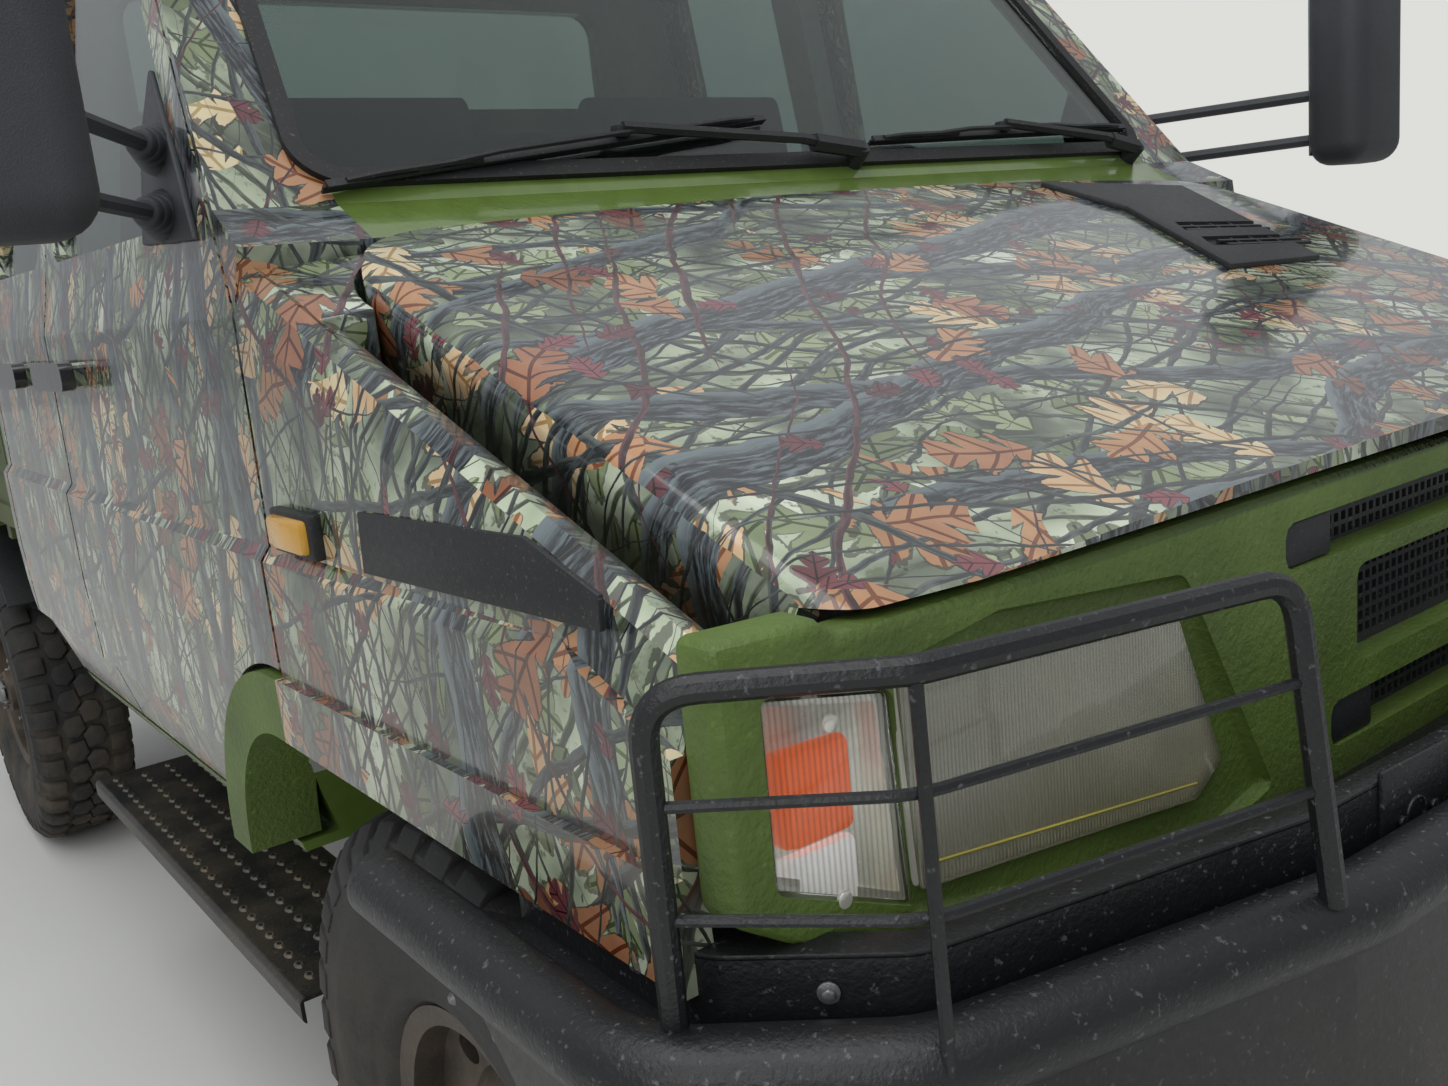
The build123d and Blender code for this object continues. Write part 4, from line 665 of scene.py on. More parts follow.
def facing(inside):
    """The editing step that turns all faces outward, or inward."""
    return bpy.ops.mesh.normals_make_consistent, {"inside": inside}


def spun(profile, axis_point, axis, steps):
    """Turn an outline of points about an axis into a round skin."""
    turn = {"steps": steps, "angle": 2 * pi, "center": axis_point, "axis": axis, "use_auto_merge": True}
    skin = outlined(profile, "NOTHING")
    return edited(skin, (bpy.ops.mesh.spin, turn), welding(0.00005), facing(False))


def copied(piece, move=Matrix()):
    """A copy of a piece with a mesh of its own, moved by a matrix."""
    twin = piece.copy()
    twin.data = piece.data.copy()
    bpy.context.scene.collection.objects.link(twin)
    twin.data.transform(move)
    if move.determinant() < 0:
        twin.data.flip_normals()
    return twin


def with_twin(piece):
    """A piece and its mirror image on the vehicle's other side, as one."""
    placed(piece)
    return merged([piece, copied(piece, Matrix.Scale(-1, 4, (1, 0, 0)))])


def ring_of(piece, centre, axis, count):
    """Copies of a piece round an axis, joined."""
    placed(piece)
    home = Matrix.Translation(centre)
    turns = [home @ Matrix.Rotation(2 * pi * k / count, 4, axis) @ home.inverted() for k in range(1, count)]
    return merged([piece] + [copied(piece, turn) for turn in turns])


def eased(points, radius, steps=8):
    """A path of points with its inner corners rounded."""
    points = [Vector(point) for point in points]
    path = [points[0]]
    for before, corner, after in zip(points, points[1:], points[2:]):
        to_before, to_after = (before - corner).normalized(), (after - corner).normalized()
        half = to_before.angle(to_after) / 2
        room = 0.49 * min((before - corner).length, (after - corner).length)
        reach = min(radius / max(0.05, sin(half)) * cos(half), room)
        start, end = corner + to_before * reach, corner + to_after * reach
        for k in range(steps + 1):
            share = k / steps
            path.append(start.lerp(corner, share).lerp(corner.lerp(end, share), share))
    return path + [points[-1]]


def tube(points, radius, bend=0.0, sides=12):
    """A round tube along a path."""
    path = eased(points, bend) if bend else [Vector(point) for point in points]
    bpy.ops.object.select_all(action="DESELECT")
    bpy.ops.curve.primitive_nurbs_path_add(location=(0, 0, 0))
    curve = bpy.context.object.data
    curve.splines.clear()
    line = curve.splines.new("POLY")
    line.points.add(len(path) - 1)
    for point, place in zip(line.points, path):
        point.co = (*place, 1.0)
    curve.dimensions = "3D"
    curve.bevel_depth = radius
    curve.bevel_resolution = max(1, sides // 4 - 1)
    curve.use_fill_caps = True
    bpy.ops.object.convert(target="MESH")
    return bpy.context.object


def slab(points, thickness, toward, bevel=0.0):
    """A plate from its outline, made thick toward a direction."""
    push = {"value": Vector(toward).normalized() * thickness}
    grow = (bpy.ops.mesh.extrude_region_move, {"TRANSFORM_OT_translate": push})
    return bevelled(edited(outlined(points, "NGON"), grow, facing(False)), bevel)


# Tyres: a round body with ringed sidewalls, and a tread of staggered blocks
HUB = spot(0.827, 0.0, 0.445)
WHEEL_AXIS = Vector((1, 0, 0))
TREAD_BASE = 0.431
BLOCKS = 38
PITCH = 2 * pi / BLOCKS
# Half width and radius from the bead out to the tread
TYRE_HALF_PROFILE = [
    (0.089, 0.2035), (0.093, 0.224), (0.104, 0.232), (0.11, 0.243), (0.1115, 0.262), (0.1145, 0.266),
    (0.116, 0.274), (0.1185, 0.282), (0.1235, 0.318), (0.1248, 0.34), (0.1248, 0.352), (0.1228, 0.356),
    (0.1226, 0.372), (0.121, 0.396), (0.113, 0.419), (0.098, 0.4285), (0.06, TREAD_BASE),
]
BLOCK_PLAN = [
    (0.004, -0.03), (0.04, -0.026), (0.052, -0.004), (0.044, 0.022), (0.018, 0.03), (-0.004, 0.01),
]
SHOULDER = [
    (0.061, TREAD_BASE - 0.006), (0.061, 0.4435), (0.08, 0.4435), (0.103, 0.437), (0.1225, 0.41),
    (0.1245, 0.385), (0.115, 0.385), (0.095, 0.42),
]
left_half = [spot(HUB.x - x, 0.0, HUB.z + r) for x, r in TYRE_HALF_PROFILE]
right_half = [spot(HUB.x + x, 0.0, HUB.z + r) for x, r in reversed(TYRE_HALF_PROFILE)]
tyre_body = spun(left_half + right_half, HUB, WHEEL_AXIS, 96)


def tread_block(outline, thickness, toward, bevel, shift):
    """One tread block: an outline made thick, then turned round the hub."""
    block = placed(slab(outline, thickness, toward, bevel))
    turn = Matrix.Rotation(shift, 4, WHEEL_AXIS)
    block.data.transform(Matrix.Translation(HUB) @ turn @ Matrix.Translation(-HUB))
    return block


blocks = []
for sign, shift in ((1, 0), (-1, PITCH / 2)):
    outline = [spot(HUB.x + sign * x, sign * y, HUB.z + TREAD_BASE - 0.003) for x, y in BLOCK_PLAN]
    blocks.append(tread_block(outline, 0.0153, (0, 0, 1), 0.0022, shift))
for sign, shift in ((1, PITCH / 2), (-1, 0)):
    outline = [spot(HUB.x + sign * x, -0.024, HUB.z + r) for x, r in SHOULDER]
    blocks.append(tread_block(outline, 0.046, (0, 1, 0), 0.0025, shift))
tread = ring_of(merged(blocks), HUB, "X", BLOCKS)
tyre_model = merged([placed(tyre_body), tread])

# Wheel nuts and a hub cap with its own screws
NUT_CIRCLE = 0.0865
SCREW_CIRCLE = 0.046
HUB_FACE = 0.066


def hub_rod(first, last, off, radius, **form):
    """A rod along the axle between two depths off the hub's face, some way above the axis."""
    ends = [HUB + Vector((HUB_FACE + depth, 0, off)) for depth in (first, last)]
    return rod(*ends, radius, **form)


nut = hub_rod(-0.002, 0.016, NUT_CIRCLE, 0.0135, sides=6, bevel=0.0015)
stud = hub_rod(0.01, 0.026, NUT_CIRCLE, 0.007, sides=12, bevel=0.001)
nuts = ring_of(merged([nut, stud]), HUB, "X", 6)
cap_screws = ring_of(hub_rod(0.045, 0.058, SCREW_CIRCLE, 0.006, sides=6, bevel=0.001), HUB, "X", 6)
cap = hub_rod(0.05, 0.064, 0, 0.034, tip_radius=0.026, sides=32, bevel=0.003)
fixings_model = merged([nuts, cap_screws, placed(cap)])

for name in WHEELS:
    centre = middle(f"rim_{name}")
    move = Matrix.Translation(Vector((centre.x, centre.y, HUB.z)))
    if name.endswith("right"):
        move = move @ Matrix.Rotation(pi, 4, "Z")
    move = move @ Matrix.Translation(-HUB)
    tyre = settle(copied(tyre_model, move), f"tread_{name}", "tyre_rubber", body=f"wheel_{name}")
    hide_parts(f"tyre_{name}")
    fixings = copied(fixings_model, move)
    settle(fixings, f"wheel_nuts_{name}", "rim_steel", "nut_steel", body=f"wheel_{name}")
for model in (tyre_model, fixings_model):
    bpy.data.objects.remove(model, do_unlink=True)


# Front panel: rough green paint round the recessed lamps and the grille slots
PANEL_BACK, PANEL_FACE = -0.5515, -0.597
# Outlines are width and height, for the left side
PANEL_OUTLINE = [
    (0.0, 1.184), (0.872, 1.184), (0.886, 1.2), (0.977, 1.204), (0.978, 1.012), (0.886, 0.951),
    (0.713, 0.903), (0.611, 0.887), (0.52, 0.876), (0.281, 0.868), (0.0, 0.866),
]
HEADLAMP = [(0.477, 1.101), (0.818, 1.134), (0.809, 0.972), (0.458, 0.926), (0.417, 0.952)]
SIGNAL = [(0.827, 1.135), (0.943, 1.16), (0.944, 1.023), (0.818, 0.967)]
RECESS = [
    (0.713, 1.164), (0.479, 1.14), (0.345, 0.905), (0.42, 0.89), (0.62, 0.912), (0.823, 0.955),
    (0.826, 1.15),
]
# Half width, lower and upper edge of each slot
GRILLE_SLOTS = ((0.32, 1.105, 1.15), (0.19, 0.985, 1.085), (0.24, 0.908, 0.955))
# How far a cutter starts behind what it opens, and how deep it is
CUT_START, CUT_DEPTH = 0.01, 0.08


def front_slab(outline, station, thickness, bevel=0.0):
    """A plate that grows forward from an outline at a station."""
    return slab([spot(x, station, z) for x, z in outline], thickness, (0, -1, 0), bevel)


panel = with_twin(front_slab(PANEL_OUTLINE, PANEL_BACK, PANEL_BACK - PANEL_FACE))
bevelled(edited(panel, welding(0.0001)), 0.011, 3)
for sign in SIDES.values():
    for outline, start, depth, bevel in (
        (RECESS, PANEL_FACE + 0.013, 0.03, 0.012),
        (HEADLAMP, PANEL_BACK + CUT_START, CUT_DEPTH, 0.009),
        (SIGNAL, PANEL_BACK + CUT_START, CUT_DEPTH, 0.009),
    ):
        hollow = front_slab([(sign * x, z) for x, z in outline], start, depth)
        cut(panel, bevelled(hollow, bevel, 3))
for half_width, low, high in GRILLE_SLOTS:
    centre = spot(0, (PANEL_BACK + PANEL_FACE) / 2, (low + high) / 2)
    cut(panel, box(centre, (2 * half_width, CUT_DEPTH, high - low), 0.014))
settle(panel, "front_panel_skin", "olive_paint", angle=28)
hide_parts("front_panel")

# Dark inserts at the ends of the upper and lower slots
for half_width, low, high in (GRILLE_SLOTS[0], GRILLE_SLOTS[2]):
    centre = spot(half_width - 0.045, -0.59, (low + high) / 2)
    insert = box(centre, (0.084, 0.008, high - low - 0.003), 0.003)
    settle(with_twin(insert), f"slot_insert_{int(low * 1000)}", "black_plastic")

# Lamp units: a hollow reflector behind a ribbed lens
LENS_STATION, SHELL_STATION, SHELL_FLOOR = -0.586, -0.553, -0.556


def drawn_in(outline, inset):
    """An outline with its corners moved toward its middle."""
    middle_x = sum(x for x, _ in outline) / len(outline)
    middle_z = sum(z for _, z in outline) / len(outline)
    drawn = []
    for x, z in outline:
        inward = Vector((x - middle_x, z - middle_z)).normalized() * -inset
        drawn.append((x + inward.x, z + inward.y))
    return drawn


for label, outline, thickness, look in (
    ("headlamp", HEADLAMP, 0.0065, "lamp_glass"),
    ("signal_lamp", SIGNAL, 0.009, "signal_glass"),
):
    rim = drawn_in(outline, 0.003)
    lens = front_slab(rim, LENS_STATION, thickness, 0.004)
    shell = front_slab(rim, SHELL_STATION, 0.03, 0.002)
    cut(shell, front_slab(drawn_in(outline, 0.014), SHELL_FLOOR, 0.06, 0.002))
    settle(with_twin(shell), f"{label}_housing", "lamp_glass", "lamp_reflector")
    lens = settle(with_twin(lens), f"{label}_lens", "lamp_glass", look)
    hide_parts("headlamps" if label == "headlamp" else "signal_lamps")

# Two round dishes with bulbs in each headlamp
DISH_RADIUS, DISH_DEPTH, BULB_RADIUS = 0.066, 0.022, 0.011
for number, x in enumerate((0.7, 0.56)):
    centre = spot(x, -0.5575, 1.035)
    bpy.ops.mesh.primitive_cone_add(
        vertices=48, radius1=DISH_RADIUS, radius2=0.016, depth=DISH_DEPTH, end_fill_type="NOTHING",
        location=centre + Vector((0, -0.012, 0)), rotation=(-pi / 2, 0, 0),
    )
    dish = applied(edited(bpy.context.object, facing(True)), "SOLIDIFY", thickness=0.0015)
    bulb = rod(centre, centre + Vector((0, -DISH_DEPTH, 0)), BULB_RADIUS, 0.006, bevel=0.002)
    settle(with_twin(merged([dish, bulb])), f"headlamp_dish_{number}", "lamp_glass", "lamp_reflector")

BEAD_LINE = ((0.8, 0.992), (0.63, 0.968), (0.462, 0.944))
bead = tube([spot(x, -0.5915, z) for x, z in BEAD_LINE], 0.0018, 0, 8)
settle(with_twin(bead), "headlamp_bead", "lamp_glass", "lamp_seal")
amber = box(spot(0.889, -0.577, 1.075), (0.056, 0.014, 0.068), 0.006)
settle(with_twin(amber), "signal_bulb", "signal_lens")
white = box(spot(0.889, -0.577, 1.012), (0.056, 0.014, 0.052), 0.006)
settle(with_twin(white), "signal_reflector", "lamp_glass", "white_reflector")
screws = []
for z in (1.126, 0.998):
    screws.append(rod(spot(0.885, -0.594, z), spot(0.885, -0.5975, z), 0.0065, sides=16, bevel=0.001))
settle(with_twin(merged(screws)), "signal_screws", "lamp_glass", "lamp_reflector")


# Lamp guards: a bent tube on two feet, an upright in the middle and two cross rods
GUARD_FEET = ((1.018, -0.572), (0.911, -0.712), (0.59, -0.785))
GUARD_TOPS = ((1.034, -0.6), (0.909, -0.703), (0.606, -0.765))
GUARD_LOW, GUARD_HIGH = 0.945, 1.19
GUARD_RADIUS, UPRIGHT_RADIUS, CROSS_RADIUS = 0.0095, 0.0048, 0.0042
hoop = [
    spot(*GUARD_FEET[0], GUARD_LOW),
    spot(*GUARD_TOPS[0], GUARD_HIGH),
    spot(*GUARD_TOPS[1], GUARD_HIGH),
    spot(*GUARD_TOPS[2], GUARD_HIGH - 0.004),
    spot(*GUARD_FEET[2], GUARD_LOW),
]
upright = [spot(*GUARD_FEET[1], GUARD_LOW - 0.03), spot(*GUARD_TOPS[1], GUARD_HIGH)]
guard = [tube(hoop, GUARD_RADIUS, 0.036, 16), tube(upright, UPRIGHT_RADIUS)]
for height in (1.033, 1.113):
    share = (height - GUARD_LOW) / (GUARD_HIGH - GUARD_LOW)
    stops = []
    for foot, top in zip(GUARD_FEET, GUARD_TOPS):
        stops.append(spot(*[low + share * (high - low) for low, high in zip(foot, top)], height))
    stops[1] += Vector((0.003, 0.004, 0))
    guard.append(tube(stops, CROSS_RADIUS, 0.08))
guard = settle(with_twin(merged(guard)), "lamp_guard_tubes", "black_steel")
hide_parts("lamp_guards")

# Bumper: the solid's form with its top tube drawn in to the real one's girth
BUMPER_ROUTE = [(1.046, -0.15), (1.046, -0.56), (0.905, -0.69), (0.54, -0.778), (0.0, -0.802)]
TUBE_HEIGHT, TUBE_WAS, TUBE_IS, TUBE_LIFT = 0.913, 0.048, 0.031, 0.01
# Points up to this many tube radii off the tube's line belong to the tube
TUBE_REACH = 1.04
half_route = [spot(x, y, TUBE_HEIGHT) for x, y in BUMPER_ROUTE]
whole_route = half_route + [Vector((-p.x, p.y, p.z)) for p in reversed(half_route[:-1])]
tube_line = eased(whole_route, 0.11, 12)


def nearest_on(line, place):
    """The closest point of a path, and how far it is."""
    best, gap = line[0], 1e9
    for start, end in zip(line, line[1:]):
        run = end - start
        share = min(1.0, max(0.0, (place - start).dot(run) / max(run.length_squared, 1e-12)))
        point = start + run * share
        if (place - point).length < gap:
            best, gap = point, (place - point).length
    return best, gap


bumper = edited(copied(NODES["bumper"]), welding(0.00005))
for vertex in bumper.data.vertices:
    point, gap = nearest_on(tube_line, vertex.co)
    if gap < TUBE_WAS * TUBE_REACH:
        vertex.co = point + (vertex.co - point) * (TUBE_IS / TUBE_WAS) + Vector((0, 0, TUBE_LIFT))
settle(bumper, "bumper_steel", "black_steel", angle=32)
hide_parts("bumper")

# Upright plate behind the tube, folded at its upper edge, with a shelf out to the tube
UPSTAND = [(0.985, -0.3), (0.985, -0.556), (0.88, -0.662), (0.535, -0.742), (0.0, -0.768)]
UPSTAND_LOW, UPSTAND_HIGH = 0.89, 0.978
SHELF_Z = 0.912


def moved_in(line, inward, back):
    """A plan line moved inward and back; its end stays on the middle."""
    return [Vector((p.x - inward if p.x > 0 else 0.0, p.y + back, 0)) for p in line]


def plan_slab(line, other, z, thickness, bevel=0.0):
    """A level plate between two plan lines."""
    return slab([spot(p.x, p.y, z) for p in line + other[::-1]], thickness, (0, 0, 1), bevel)


outer = eased([(x, y, 0) for x, y in UPSTAND], 0.05, 4)
wall = plan_slab(outer, moved_in(outer, 0.005, 0.005), UPSTAND_LOW, UPSTAND_HIGH - UPSTAND_LOW)
fold = plan_slab(outer, moved_in(outer, 0.02, 0.022), UPSTAND_HIGH, 0.004, 0.0012)
shelf = plan_slab(eased([(x, y, 0) for x, y in BUMPER_ROUTE], 0.1, 4), outer, SHELF_Z, 0.006)
settle(with_twin(merged([wall, fold, shelf])), "bumper_upstand", "black_steel")

# Plate with a raised ring and two screws, on the upright plate's left half
run = (spot(0.6, -0.733, 0) - spot(0.44, -0.742, 0)).normalized()
turn = atan2(run.y, run.x)
plate_centre = spot(0.4, -0.7505, 0.941)
plate = box(plate_centre, (0.1, 0.006, 0.098), 0.0025, (0, 0, turn))
out = Vector((sin(turn), -cos(turn), 0))
face = plate_centre + out * 0.003
across_plate = Vector((cos(turn), sin(turn), 0))
bpy.ops.mesh.primitive_torus_add(
    major_radius=0.0135, minor_radius=0.0016, major_segments=32, minor_segments=8,
    location=face, rotation=(pi / 2, 0, turn),
)
pieces = [plate, bpy.context.object]
for off in (-0.024, 0.024):
    foot = face + across_plate * off
    pieces.append(rod(foot, foot + out * 0.004, 0.0052, sides=16, bevel=0.001))
settle(with_twin(merged(pieces)), "bumper_round_plate", "black_steel")

# Bolts on the upright plate: a hexagon head on a washer
BOLT_RADIUS = 0.0052
bolts = []
for place, toward in (
    (spot(0.9855, -0.34, 0.948), (1, 0, 0)),
    (spot(0.9855, -0.48, 0.948), (1, 0, 0)),
    (spot(0.925, -0.6185, 0.955), (0.71, -0.7, 0)),
):
    toward = Vector(toward).normalized()
    washer = rod(place, place + toward * 0.0022, BOLT_RADIUS * 1.55, bevel=0.0006)
    head = rod(place, place + toward * 0.006, BOLT_RADIUS, sides=6, bevel=0.0012)
    bolts.append(merged([washer, head]))
settle(with_twin(merged(bolts)), "bumper_bolts", "engine_grey", "nut_steel")

# Rivets along and down the bumper's side plates
rivets = []
along = [(station, 0.845) for station in (-0.25, -0.33, -0.41, -0.49)]
down = [(-0.56, z) for z in (0.66, 0.72, 0.78, 0.84)]
for station, z in along + down:
    rivets.append(rod(spot(1.0355, station, z), spot(1.0385, station, z), 0.006, 0.0035, sides=12))
settle(with_twin(merged(rivets)), "bumper_rivets", "black_steel", "nut_steel")

# Chequered tread on the bumper's lower step
bars = []
for row in range(15):
    for line in range(3):
        centre = spot(-0.308 + row * 0.044, -0.802 + line * 0.024, 0.5898)
        bars.append(box(centre, (0.026, 0.006, 0.003), 0.001, (0, 0, 0.7 if (row + line) % 2 else -0.7)))
settle(merged(bars), "step_chequer", "black_steel")

# Side steps: rows of raised drain holes, stretched a little along the step. Each hole is a black disc on
# its rim: painted shade for the dark seen through it.
STEP_Z = 0.48
HOLE_ROWS, HOLES_IN_ROW = 4, 28
ROW_GAP, HOLE_GAP = 0.054, 0.043
rim_model = placed(rod((0, 0, 0), (0, 0, 0.0035), 0.0095, 0.0068, sides=10))
hole_shade_model = placed(rod((0, 0, 0.0022), (0, 0, 0.004), 0.0045, 0.0043, sides=8))
for side, sign in SIDES.items():
    rims, hole_shades = [], []
    for row in range(HOLE_ROWS):
        for k in range(HOLES_IN_ROW):
            station = 0.56 + k * HOLE_GAP + (HOLE_GAP / 2 if row % 2 else 0)
            place = spot(sign * (0.752 + row * ROW_GAP), station, STEP_Z)
            stretch = Matrix.Translation(place) @ Matrix.Diagonal((0.8, 1.35, 1.0, 1.0))
            rims.append(copied(rim_model, stretch))
            hole_shades.append(copied(hole_shade_model, stretch))
    settle(merged(rims), f"step_rims_{side}", "black_steel", "step_steel")
    # Painted shade: black discs in the black_rubber look stand in for the open holes
    settle(merged(hole_shades), f"step_hole_shades_{side}", "black_rubber")
for model in (rim_model, hole_shade_model):
    bpy.data.objects.remove(model, do_unlink=True)


# Windscreen: wipers and washer nozzles
SCREEN_NORMAL = Vector((0, -1, SCREEN_SLOPE)).normalized()
BLADE_OFF = 0.012


def on_screen(x, z, off):
    """A place some way off the windscreen, from its width and height."""
    return spot(x, SCREEN_STATION + (z - SCREEN_FOOT) * SCREEN_SLOPE, z) + SCREEN_NORMAL * off


def wiper(start, end, arm_joint, pivot, name):
    """A wiper: rubber and its holder, the bows over them, and the arm from its pivot."""
    start, end = on_screen(*start, BLADE_OFF), on_screen(*end, BLADE_OFF)
    run = (end - start).normalized()
    length = (end - start).length
    lift = SCREEN_NORMAL
    flat = run.cross(lift)
    parts = []
    for width, low, high, cut_back in ((0.0035, -0.009, 0.002, 0.0), (0.011, 0.002, 0.006, 0.004)):
        a, b = start + run * cut_back, end - run * cut_back
        edge = flat * width / 2
        outline = [place + lift * low for place in (a + edge, b + edge, b - edge, a - edge)]
        parts.append(slab(outline, high - low, lift))
    for from_share, to_share, rise in ((0.04, 0.3, 0.006), (0.7, 0.96, 0.006), (0.17, 0.83, 0.013)):
        a, b = start + run * length * from_share, start + run * length * to_share
        inner = run * (b - a).length * 0.25
        top = lift * (0.004 + rise)
        bow = eased([a + lift * 0.006, a + inner + top, b - inner + top, b + lift * 0.006], 0.03, 3)
        parts.append(tube(bow, 0.0042, 0, 8))
    joint = on_screen(*arm_joint, 0.03)
    hub = on_screen(*pivot, BLADE_OFF)
    elbow = hub + (joint - hub) * 0.28 + lift * 0.022
    parts.append(rod(hub - lift * 0.03, hub + lift * 0.024, 0.017, 0.014, bevel=0.003))
    parts.append(tube([hub + lift * 0.014, elbow, joint], 0.0085, 0.04, 8))
    parts.append(tube([hub + lift * 0.016, elbow + (hub - elbow) * 0.2], 0.0145, 0, 10))
    parts.append(box(joint - lift * 0.008, (0.022, 0.02, 0.018), 0.003))
    settle(merged(parts), name, "black_plastic")


wiper((-0.814, 1.561), (-0.075, 1.64), (-0.36, 1.617), (0.061, 1.574), "wiper_right")
wiper((0.115, 1.6), (0.8, 1.612), (0.44, 1.612), (0.76, 1.56), "wiper_left")
nozzles = [box(spot(x, 0.262, 1.5075), (0.022, 0.016, 0.012), 0.004) for x in (-0.28, 0.4)]
settle(merged(nozzles), "washer_nozzles", "black_plastic")


# Bonnet: the black intake panel with its two louvred slots
BONNET_UP = Vector((0, -BONNET_SLOPE, 1)).normalized()
BONNET_CREST, BONNET_CROWN, BONNET_HALF_WIDTH = 1.532, 0.022, 0.866
# Plans are width and station
INTAKE = [(0.338, 0.196), (0.682, 0.163), (0.484, -0.196), (0.244, -0.198), (0.372, 0.06)]
LOUVRE_SLOTS = (
    [(0.372, -0.026), (0.585, -0.04), (0.56, -0.072), (0.345, -0.062)],
    [(0.338, -0.092), (0.545, -0.104), (0.52, -0.14), (0.308, -0.13)],
)


def bonnet_slab(plan, off, thickness, bevel=0.0):
    """A plate that lies some way off the bonnet's crowned skin."""
    points = []
    for x, station in plan:
        crown = BONNET_CREST - BONNET_CROWN * (x / BONNET_HALF_WIDTH) ** 2
        top = crown - BONNET_SLOPE * (BONNET_REAR - station)
        points.append(spot(x, station, top) + BONNET_UP * off)
    return slab(points, thickness, BONNET_UP, bevel)


intake = bonnet_slab(INTAKE, -0.004, 0.013, 0.004)
for plan in LOUVRE_SLOTS:
    cut(intake, bonnet_slab(plan, 0.002, 0.02, 0.002))
slats = []
for station in (-0.038, -0.052, -0.104, -0.12):
    plan = [(0.36, station), (0.565, station - 0.012), (0.565, station - 0.018), (0.36, station - 0.006)]
    slats.append(bonnet_slab(plan, 0.003, 0.0045))
for x in (0.4, 0.45, 0.5):
    for station in (-0.034, -0.1):
        end = station - 0.036
        plan = [(x, station), (x + 0.004, station), (x - 0.004, end), (x - 0.008, end)]
        slats.append(bonnet_slab(plan, 0.003, 0.004))
settle(merged([intake] + slats), "bonnet_intake", "black_plastic", body="bonnet")


# Wings: the cheek behind the bonnet's rounded corner, the black side plate, the repeater lamp
CHEEK_TOP, CHEEK_DEPTH, CHEEK_REAR, CHEEK_LEAN = 1.478, 0.075, 0.2285, 0.08
CORNER_X, CORNER_STATION, CORNER_RADIUS = 0.736, 0.092, 0.139
cheek_plan = []
for degrees in range(8, 97, 8):
    x = CORNER_X + CORNER_RADIUS * sin(radians(degrees))
    station = CORNER_STATION + CORNER_RADIUS * cos(radians(degrees))
    if station < CHEEK_REAR:
        cheek_plan.append((x, station))
cheek_plan += [(0.936, 0.075), (0.936, CHEEK_REAR)]
cheek_foot = []
for x, station in cheek_plan:
    top = CHEEK_TOP - BONNET_SLOPE * (0.23 - station) + (0.938 - x) * CHEEK_LEAN
    cheek_foot.append(spot(x, station, top - CHEEK_DEPTH))
cheek = slab(cheek_foot, CHEEK_DEPTH, (0, 0, 1), 0.006)
settle(with_twin(cheek), "wing_cheek", "camo_wrap")

SIDE_PLATE = [(-0.051, 1.24), (-0.37, 1.249), (-0.47, 1.218), (-0.468, 1.191), (-0.045, 1.18)]
for side, sign in SIDES.items():
    plate = slab([spot(sign * 0.9715, y, z) for y, z in SIDE_PLATE], 0.0055, (sign, 0, 0), 0.0015)
    settle(plate, f"wing_plate_{side}", "black_plastic")
    base = box(spot(sign * 0.978, 0.118, 1.2035), (0.016, 0.118, 0.048), 0.004)
    settle(base, f"repeater_base_{side}", "black_plastic")
    lens = box(spot(sign * 0.986, 0.118, 1.2035), (0.018, 0.1, 0.036), 0.006)
    settle(lens, f"repeater_{side}", "signal_lens", "repeater_lens")


# Mirrors: plate in the window's corner, two arms in ringed bellows, and the head with its glass
MIRROR_CORNERS = [
    (0.951, 0.366, 1.52), (0.938, 0.43, 1.6), (0.911, 0.564, 1.742), (0.924, 0.61, 1.66),
    (0.947, 0.6, 1.53),
]
MIRROR_X, MIRROR_Z = 1.205, 1.705
# Each arm's root on the plate, and the height of its tip
MIRROR_ARMS = (((0.93, 0.53, 1.64), 1.65), ((0.944, 0.5, 1.558), 1.566))
for side, sign in SIDES.items():
    plate = slab([spot(sign * x, y, z) for x, y, z in MIRROR_CORNERS], 0.009, (sign, 0, 0.17), 0.003)
    head = bevelled(box(spot(sign * MIRROR_X, 0.12, MIRROR_Z), (0.186, 0.116, 0.386)), 0.042, 6)
    hollow = bevelled(box(spot(sign * MIRROR_X, 0.175, MIRROR_Z), (0.15, 0.02, 0.345)), 0.02, 3)
    parts = [plate, cut(head, hollow)]
    for (x, station, z), tip_z in MIRROR_ARMS:
        root = spot(sign * x, station, z)
        tip = spot(sign * 1.165, 0.15, tip_z)
        direction = (tip - root).normalized()
        parts.append(tube([root, tip], 0.0105))
        for k in range(5):
            place = root + direction * (0.006 + k * 0.017)
            radii = (0.034 - k * 0.0035, 0.03 - k * 0.0035)
            parts.append(rod(place, place + direction * 0.0125, *radii, sides=24, bevel=0.003))
    door = f"front_door_{side}"
    mirror = settle(merged(parts), f"mirror_arm_and_head_{side}", "black_plastic", "mirror_plastic", door)
    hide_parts(f"mirror_{side}")
    glass = box(spot(sign * MIRROR_X, 0.1725, MIRROR_Z), (0.146, 0.004, 0.34), 0.0015)
    settle(glass, f"mirror_glass_{side}", "black_plastic", "mirror_glass", door)


# Bed: latches at the ends of the boards, and lamps below the tailgate
LATCH_OFF = 0.009
REAR_LAMPS = (
    ("rear_lamp_housing", 0.76, 4.006, (0.29, 0.046, 0.084), 0.006, "black_plastic", None),
    ("rear_lamp", 0.8, 4.032, (0.15, 0.012, 0.068), 0.005, "signal_lens", "red_lens"),
    ("rear_signal", 0.66, 4.032, (0.074, 0.012, 0.068), 0.005, "signal_lens", "repeater_lens"),
)


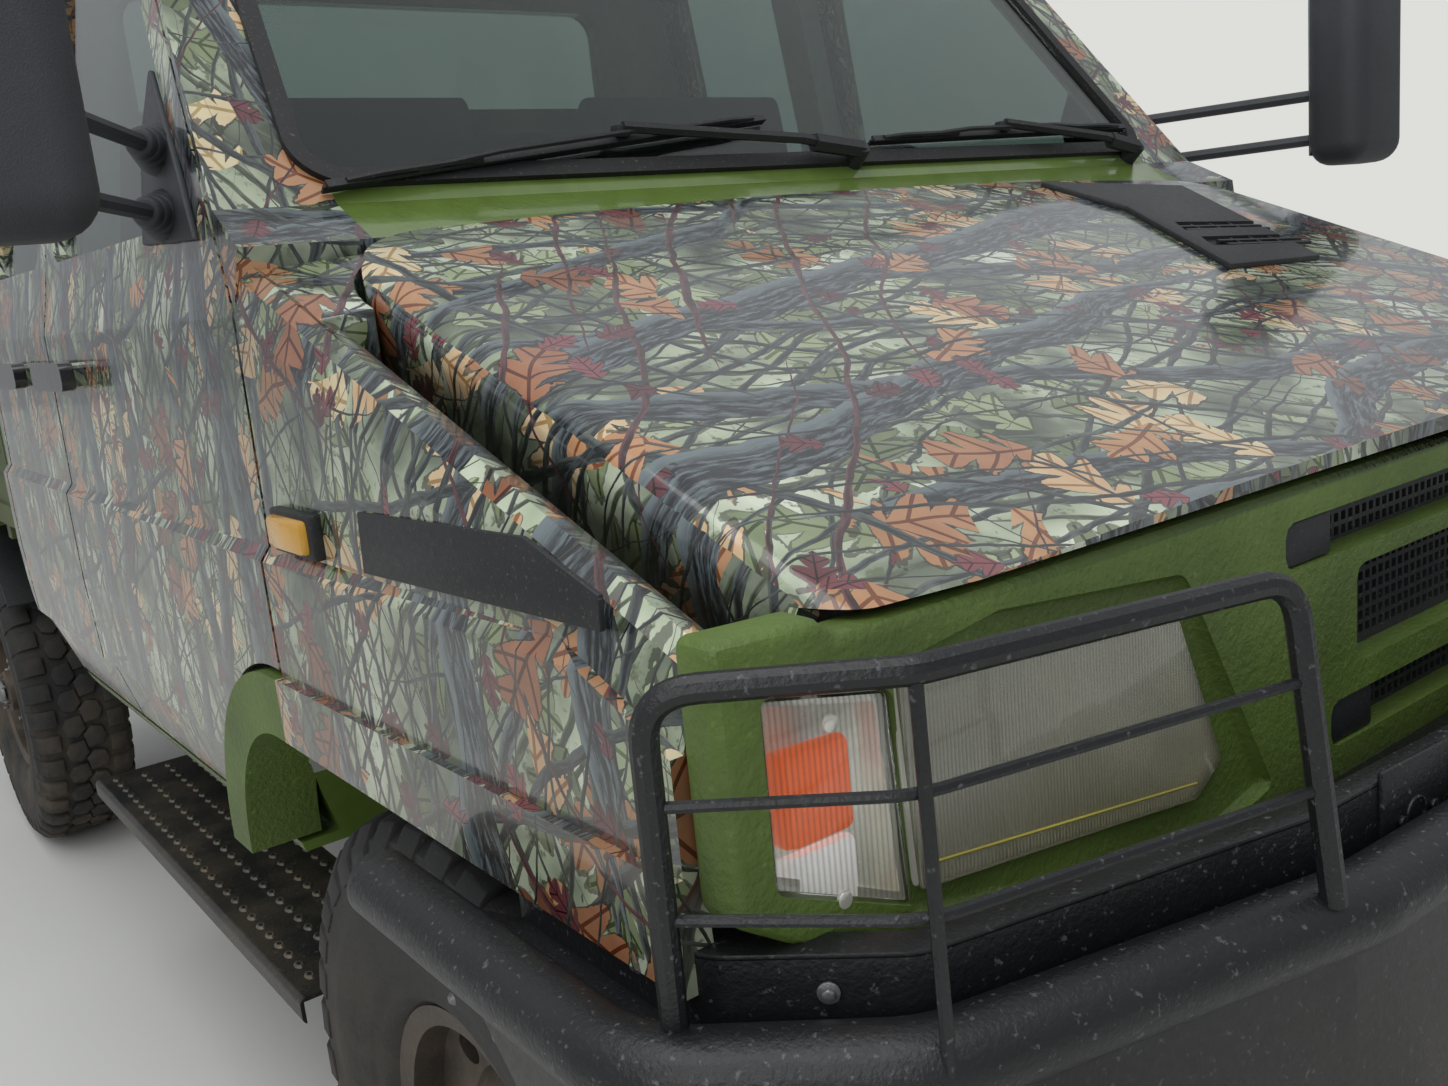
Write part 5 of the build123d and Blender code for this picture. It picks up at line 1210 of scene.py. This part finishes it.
def latch(sign, station):
    """A lever latch on its plate."""
    x = sign * 0.958
    plate = box(spot(x, station, 1.345), (0.006, 0.05, 0.11), 0.002)
    lever = rod(spot(x, station, 1.31), spot(x, station, 1.385), 0.007, 0.0055, sides=12, bevel=0.002)
    knob = rod(spot(x, station, 1.385), spot(x, station, 1.4), 0.011, 0.009, sides=16, bevel=0.003)
    for piece in (lever, knob):
        piece.location.x += sign * LATCH_OFF
    return merged([plate, lever, knob])


for side, sign in SIDES.items():
    latches = merged([latch(sign, station) for station in (2.06, 3.97)])
    settle(latches, f"board_latches_{side}", "black_steel", body=f"side_board_{side}")
    for name, x, station, size, edge, slot, look in REAR_LAMPS:
        block = box(spot(sign * x, station, 0.918), size, edge)
        settle(block, f"{name}_{side}", slot, look)


# Camera as the photograph's, solved from points on the cab, wheels and windscreen
CAMERA_PLACE = Vector((-1.42487, FRONT_AXLE - 1.22586, 1.42752))
CAMERA_YAW = radians(36.558)
CAMERA_PITCH = radians(11.738)
CAMERA_ROLL = radians(5.663)
FOCAL_PIXELS = 1306.34
PHOTO_WIDTH = 1448
SENSOR = 36.0


def add_camera():
    """The photograph's camera: its place, its turn and its field."""
    flat = cos(CAMERA_PITCH)
    forward = Vector((sin(CAMERA_YAW) * flat, cos(CAMERA_YAW) * flat, -sin(CAMERA_PITCH)))
    level = forward.cross(Vector((0, 0, 1))).normalized()
    drop = forward.cross(level)
    right = cos(CAMERA_ROLL) * level + sin(CAMERA_ROLL) * drop
    up = sin(CAMERA_ROLL) * level - cos(CAMERA_ROLL) * drop
    turn = Matrix((right, up, -forward)).transposed()
    data = bpy.data.cameras.new("camera")
    data.sensor_width = SENSOR
    data.lens = FOCAL_PIXELS / PHOTO_WIDTH * SENSOR
    data.clip_start = 0.05
    camera = bpy.data.objects.new("camera", data)
    camera.matrix_world = Matrix.Translation(CAMERA_PLACE) @ turn.to_4x4()
    bpy.context.scene.collection.objects.link(camera)
    bpy.context.scene.camera = camera


def add_light(name, place, target, size, power):
    """A large soft lamp that points at a target."""
    data = bpy.data.lights.new(name, "AREA")
    data.shape = "RECTANGLE"
    data.size, data.size_y = size
    data.energy = power
    lamp = bpy.data.objects.new(name, data)
    lamp.location = place
    lamp.rotation_euler = (Vector(target) - Vector(place)).to_track_quat("-Z", "Y").to_euler()
    bpy.context.scene.collection.objects.link(lamp)


def add_studio():
    """Pale floor, a sky-like soft world and two large lamps."""
    bpy.ops.mesh.primitive_plane_add(size=60, location=(0, 0, 0))
    floor = bpy.context.object
    floor.name = "floor"
    material, tree, surface = shader("floor")
    tone = mixed(noise(object_place(tree), 0.8, 4.0), "CFCFCB", "D8D8D4")
    feed(surface, {"Base Color": tone, "Roughness": 0.8})
    floor.data.materials.append(material)
    world = bpy.data.worlds.new("studio")
    world.use_nodes = True
    bpy.context.scene.world = world
    tree = world.node_tree
    height = parts_of(result(tree, "TexCoord", out="Generated"))[2]
    horizon, low_sky = (0.3, 0.31, 0.32, 1), (0.36, 0.37, 0.39, 1)
    mid_sky, high_sky = (0.58, 0.59, 0.61, 1), (0.68, 0.7, 0.72, 1)
    sky = ramp(height, [(0.0, horizon), (0.12, low_sky), (0.45, mid_sky), (1.0, high_sky)])
    seen = result(tree, "LightPath", out="Is Camera Ray")
    feed(tree.nodes["Background"], {"Color": mixed(seen, sky, "DEDEDA"), "Strength": 1.0})
    add_light("overhead", (-2.0, -2.5, 6.0), (0, -1.2, 1.0), (5.0, 5.0), 190)
    add_light("front_left", (-5.5, -5.0, 3.2), (0, -1.5, 1.0), (3.0, 3.0), 85)
    bpy.context.scene.view_settings.view_transform = "Standard"


add_camera()
add_studio()
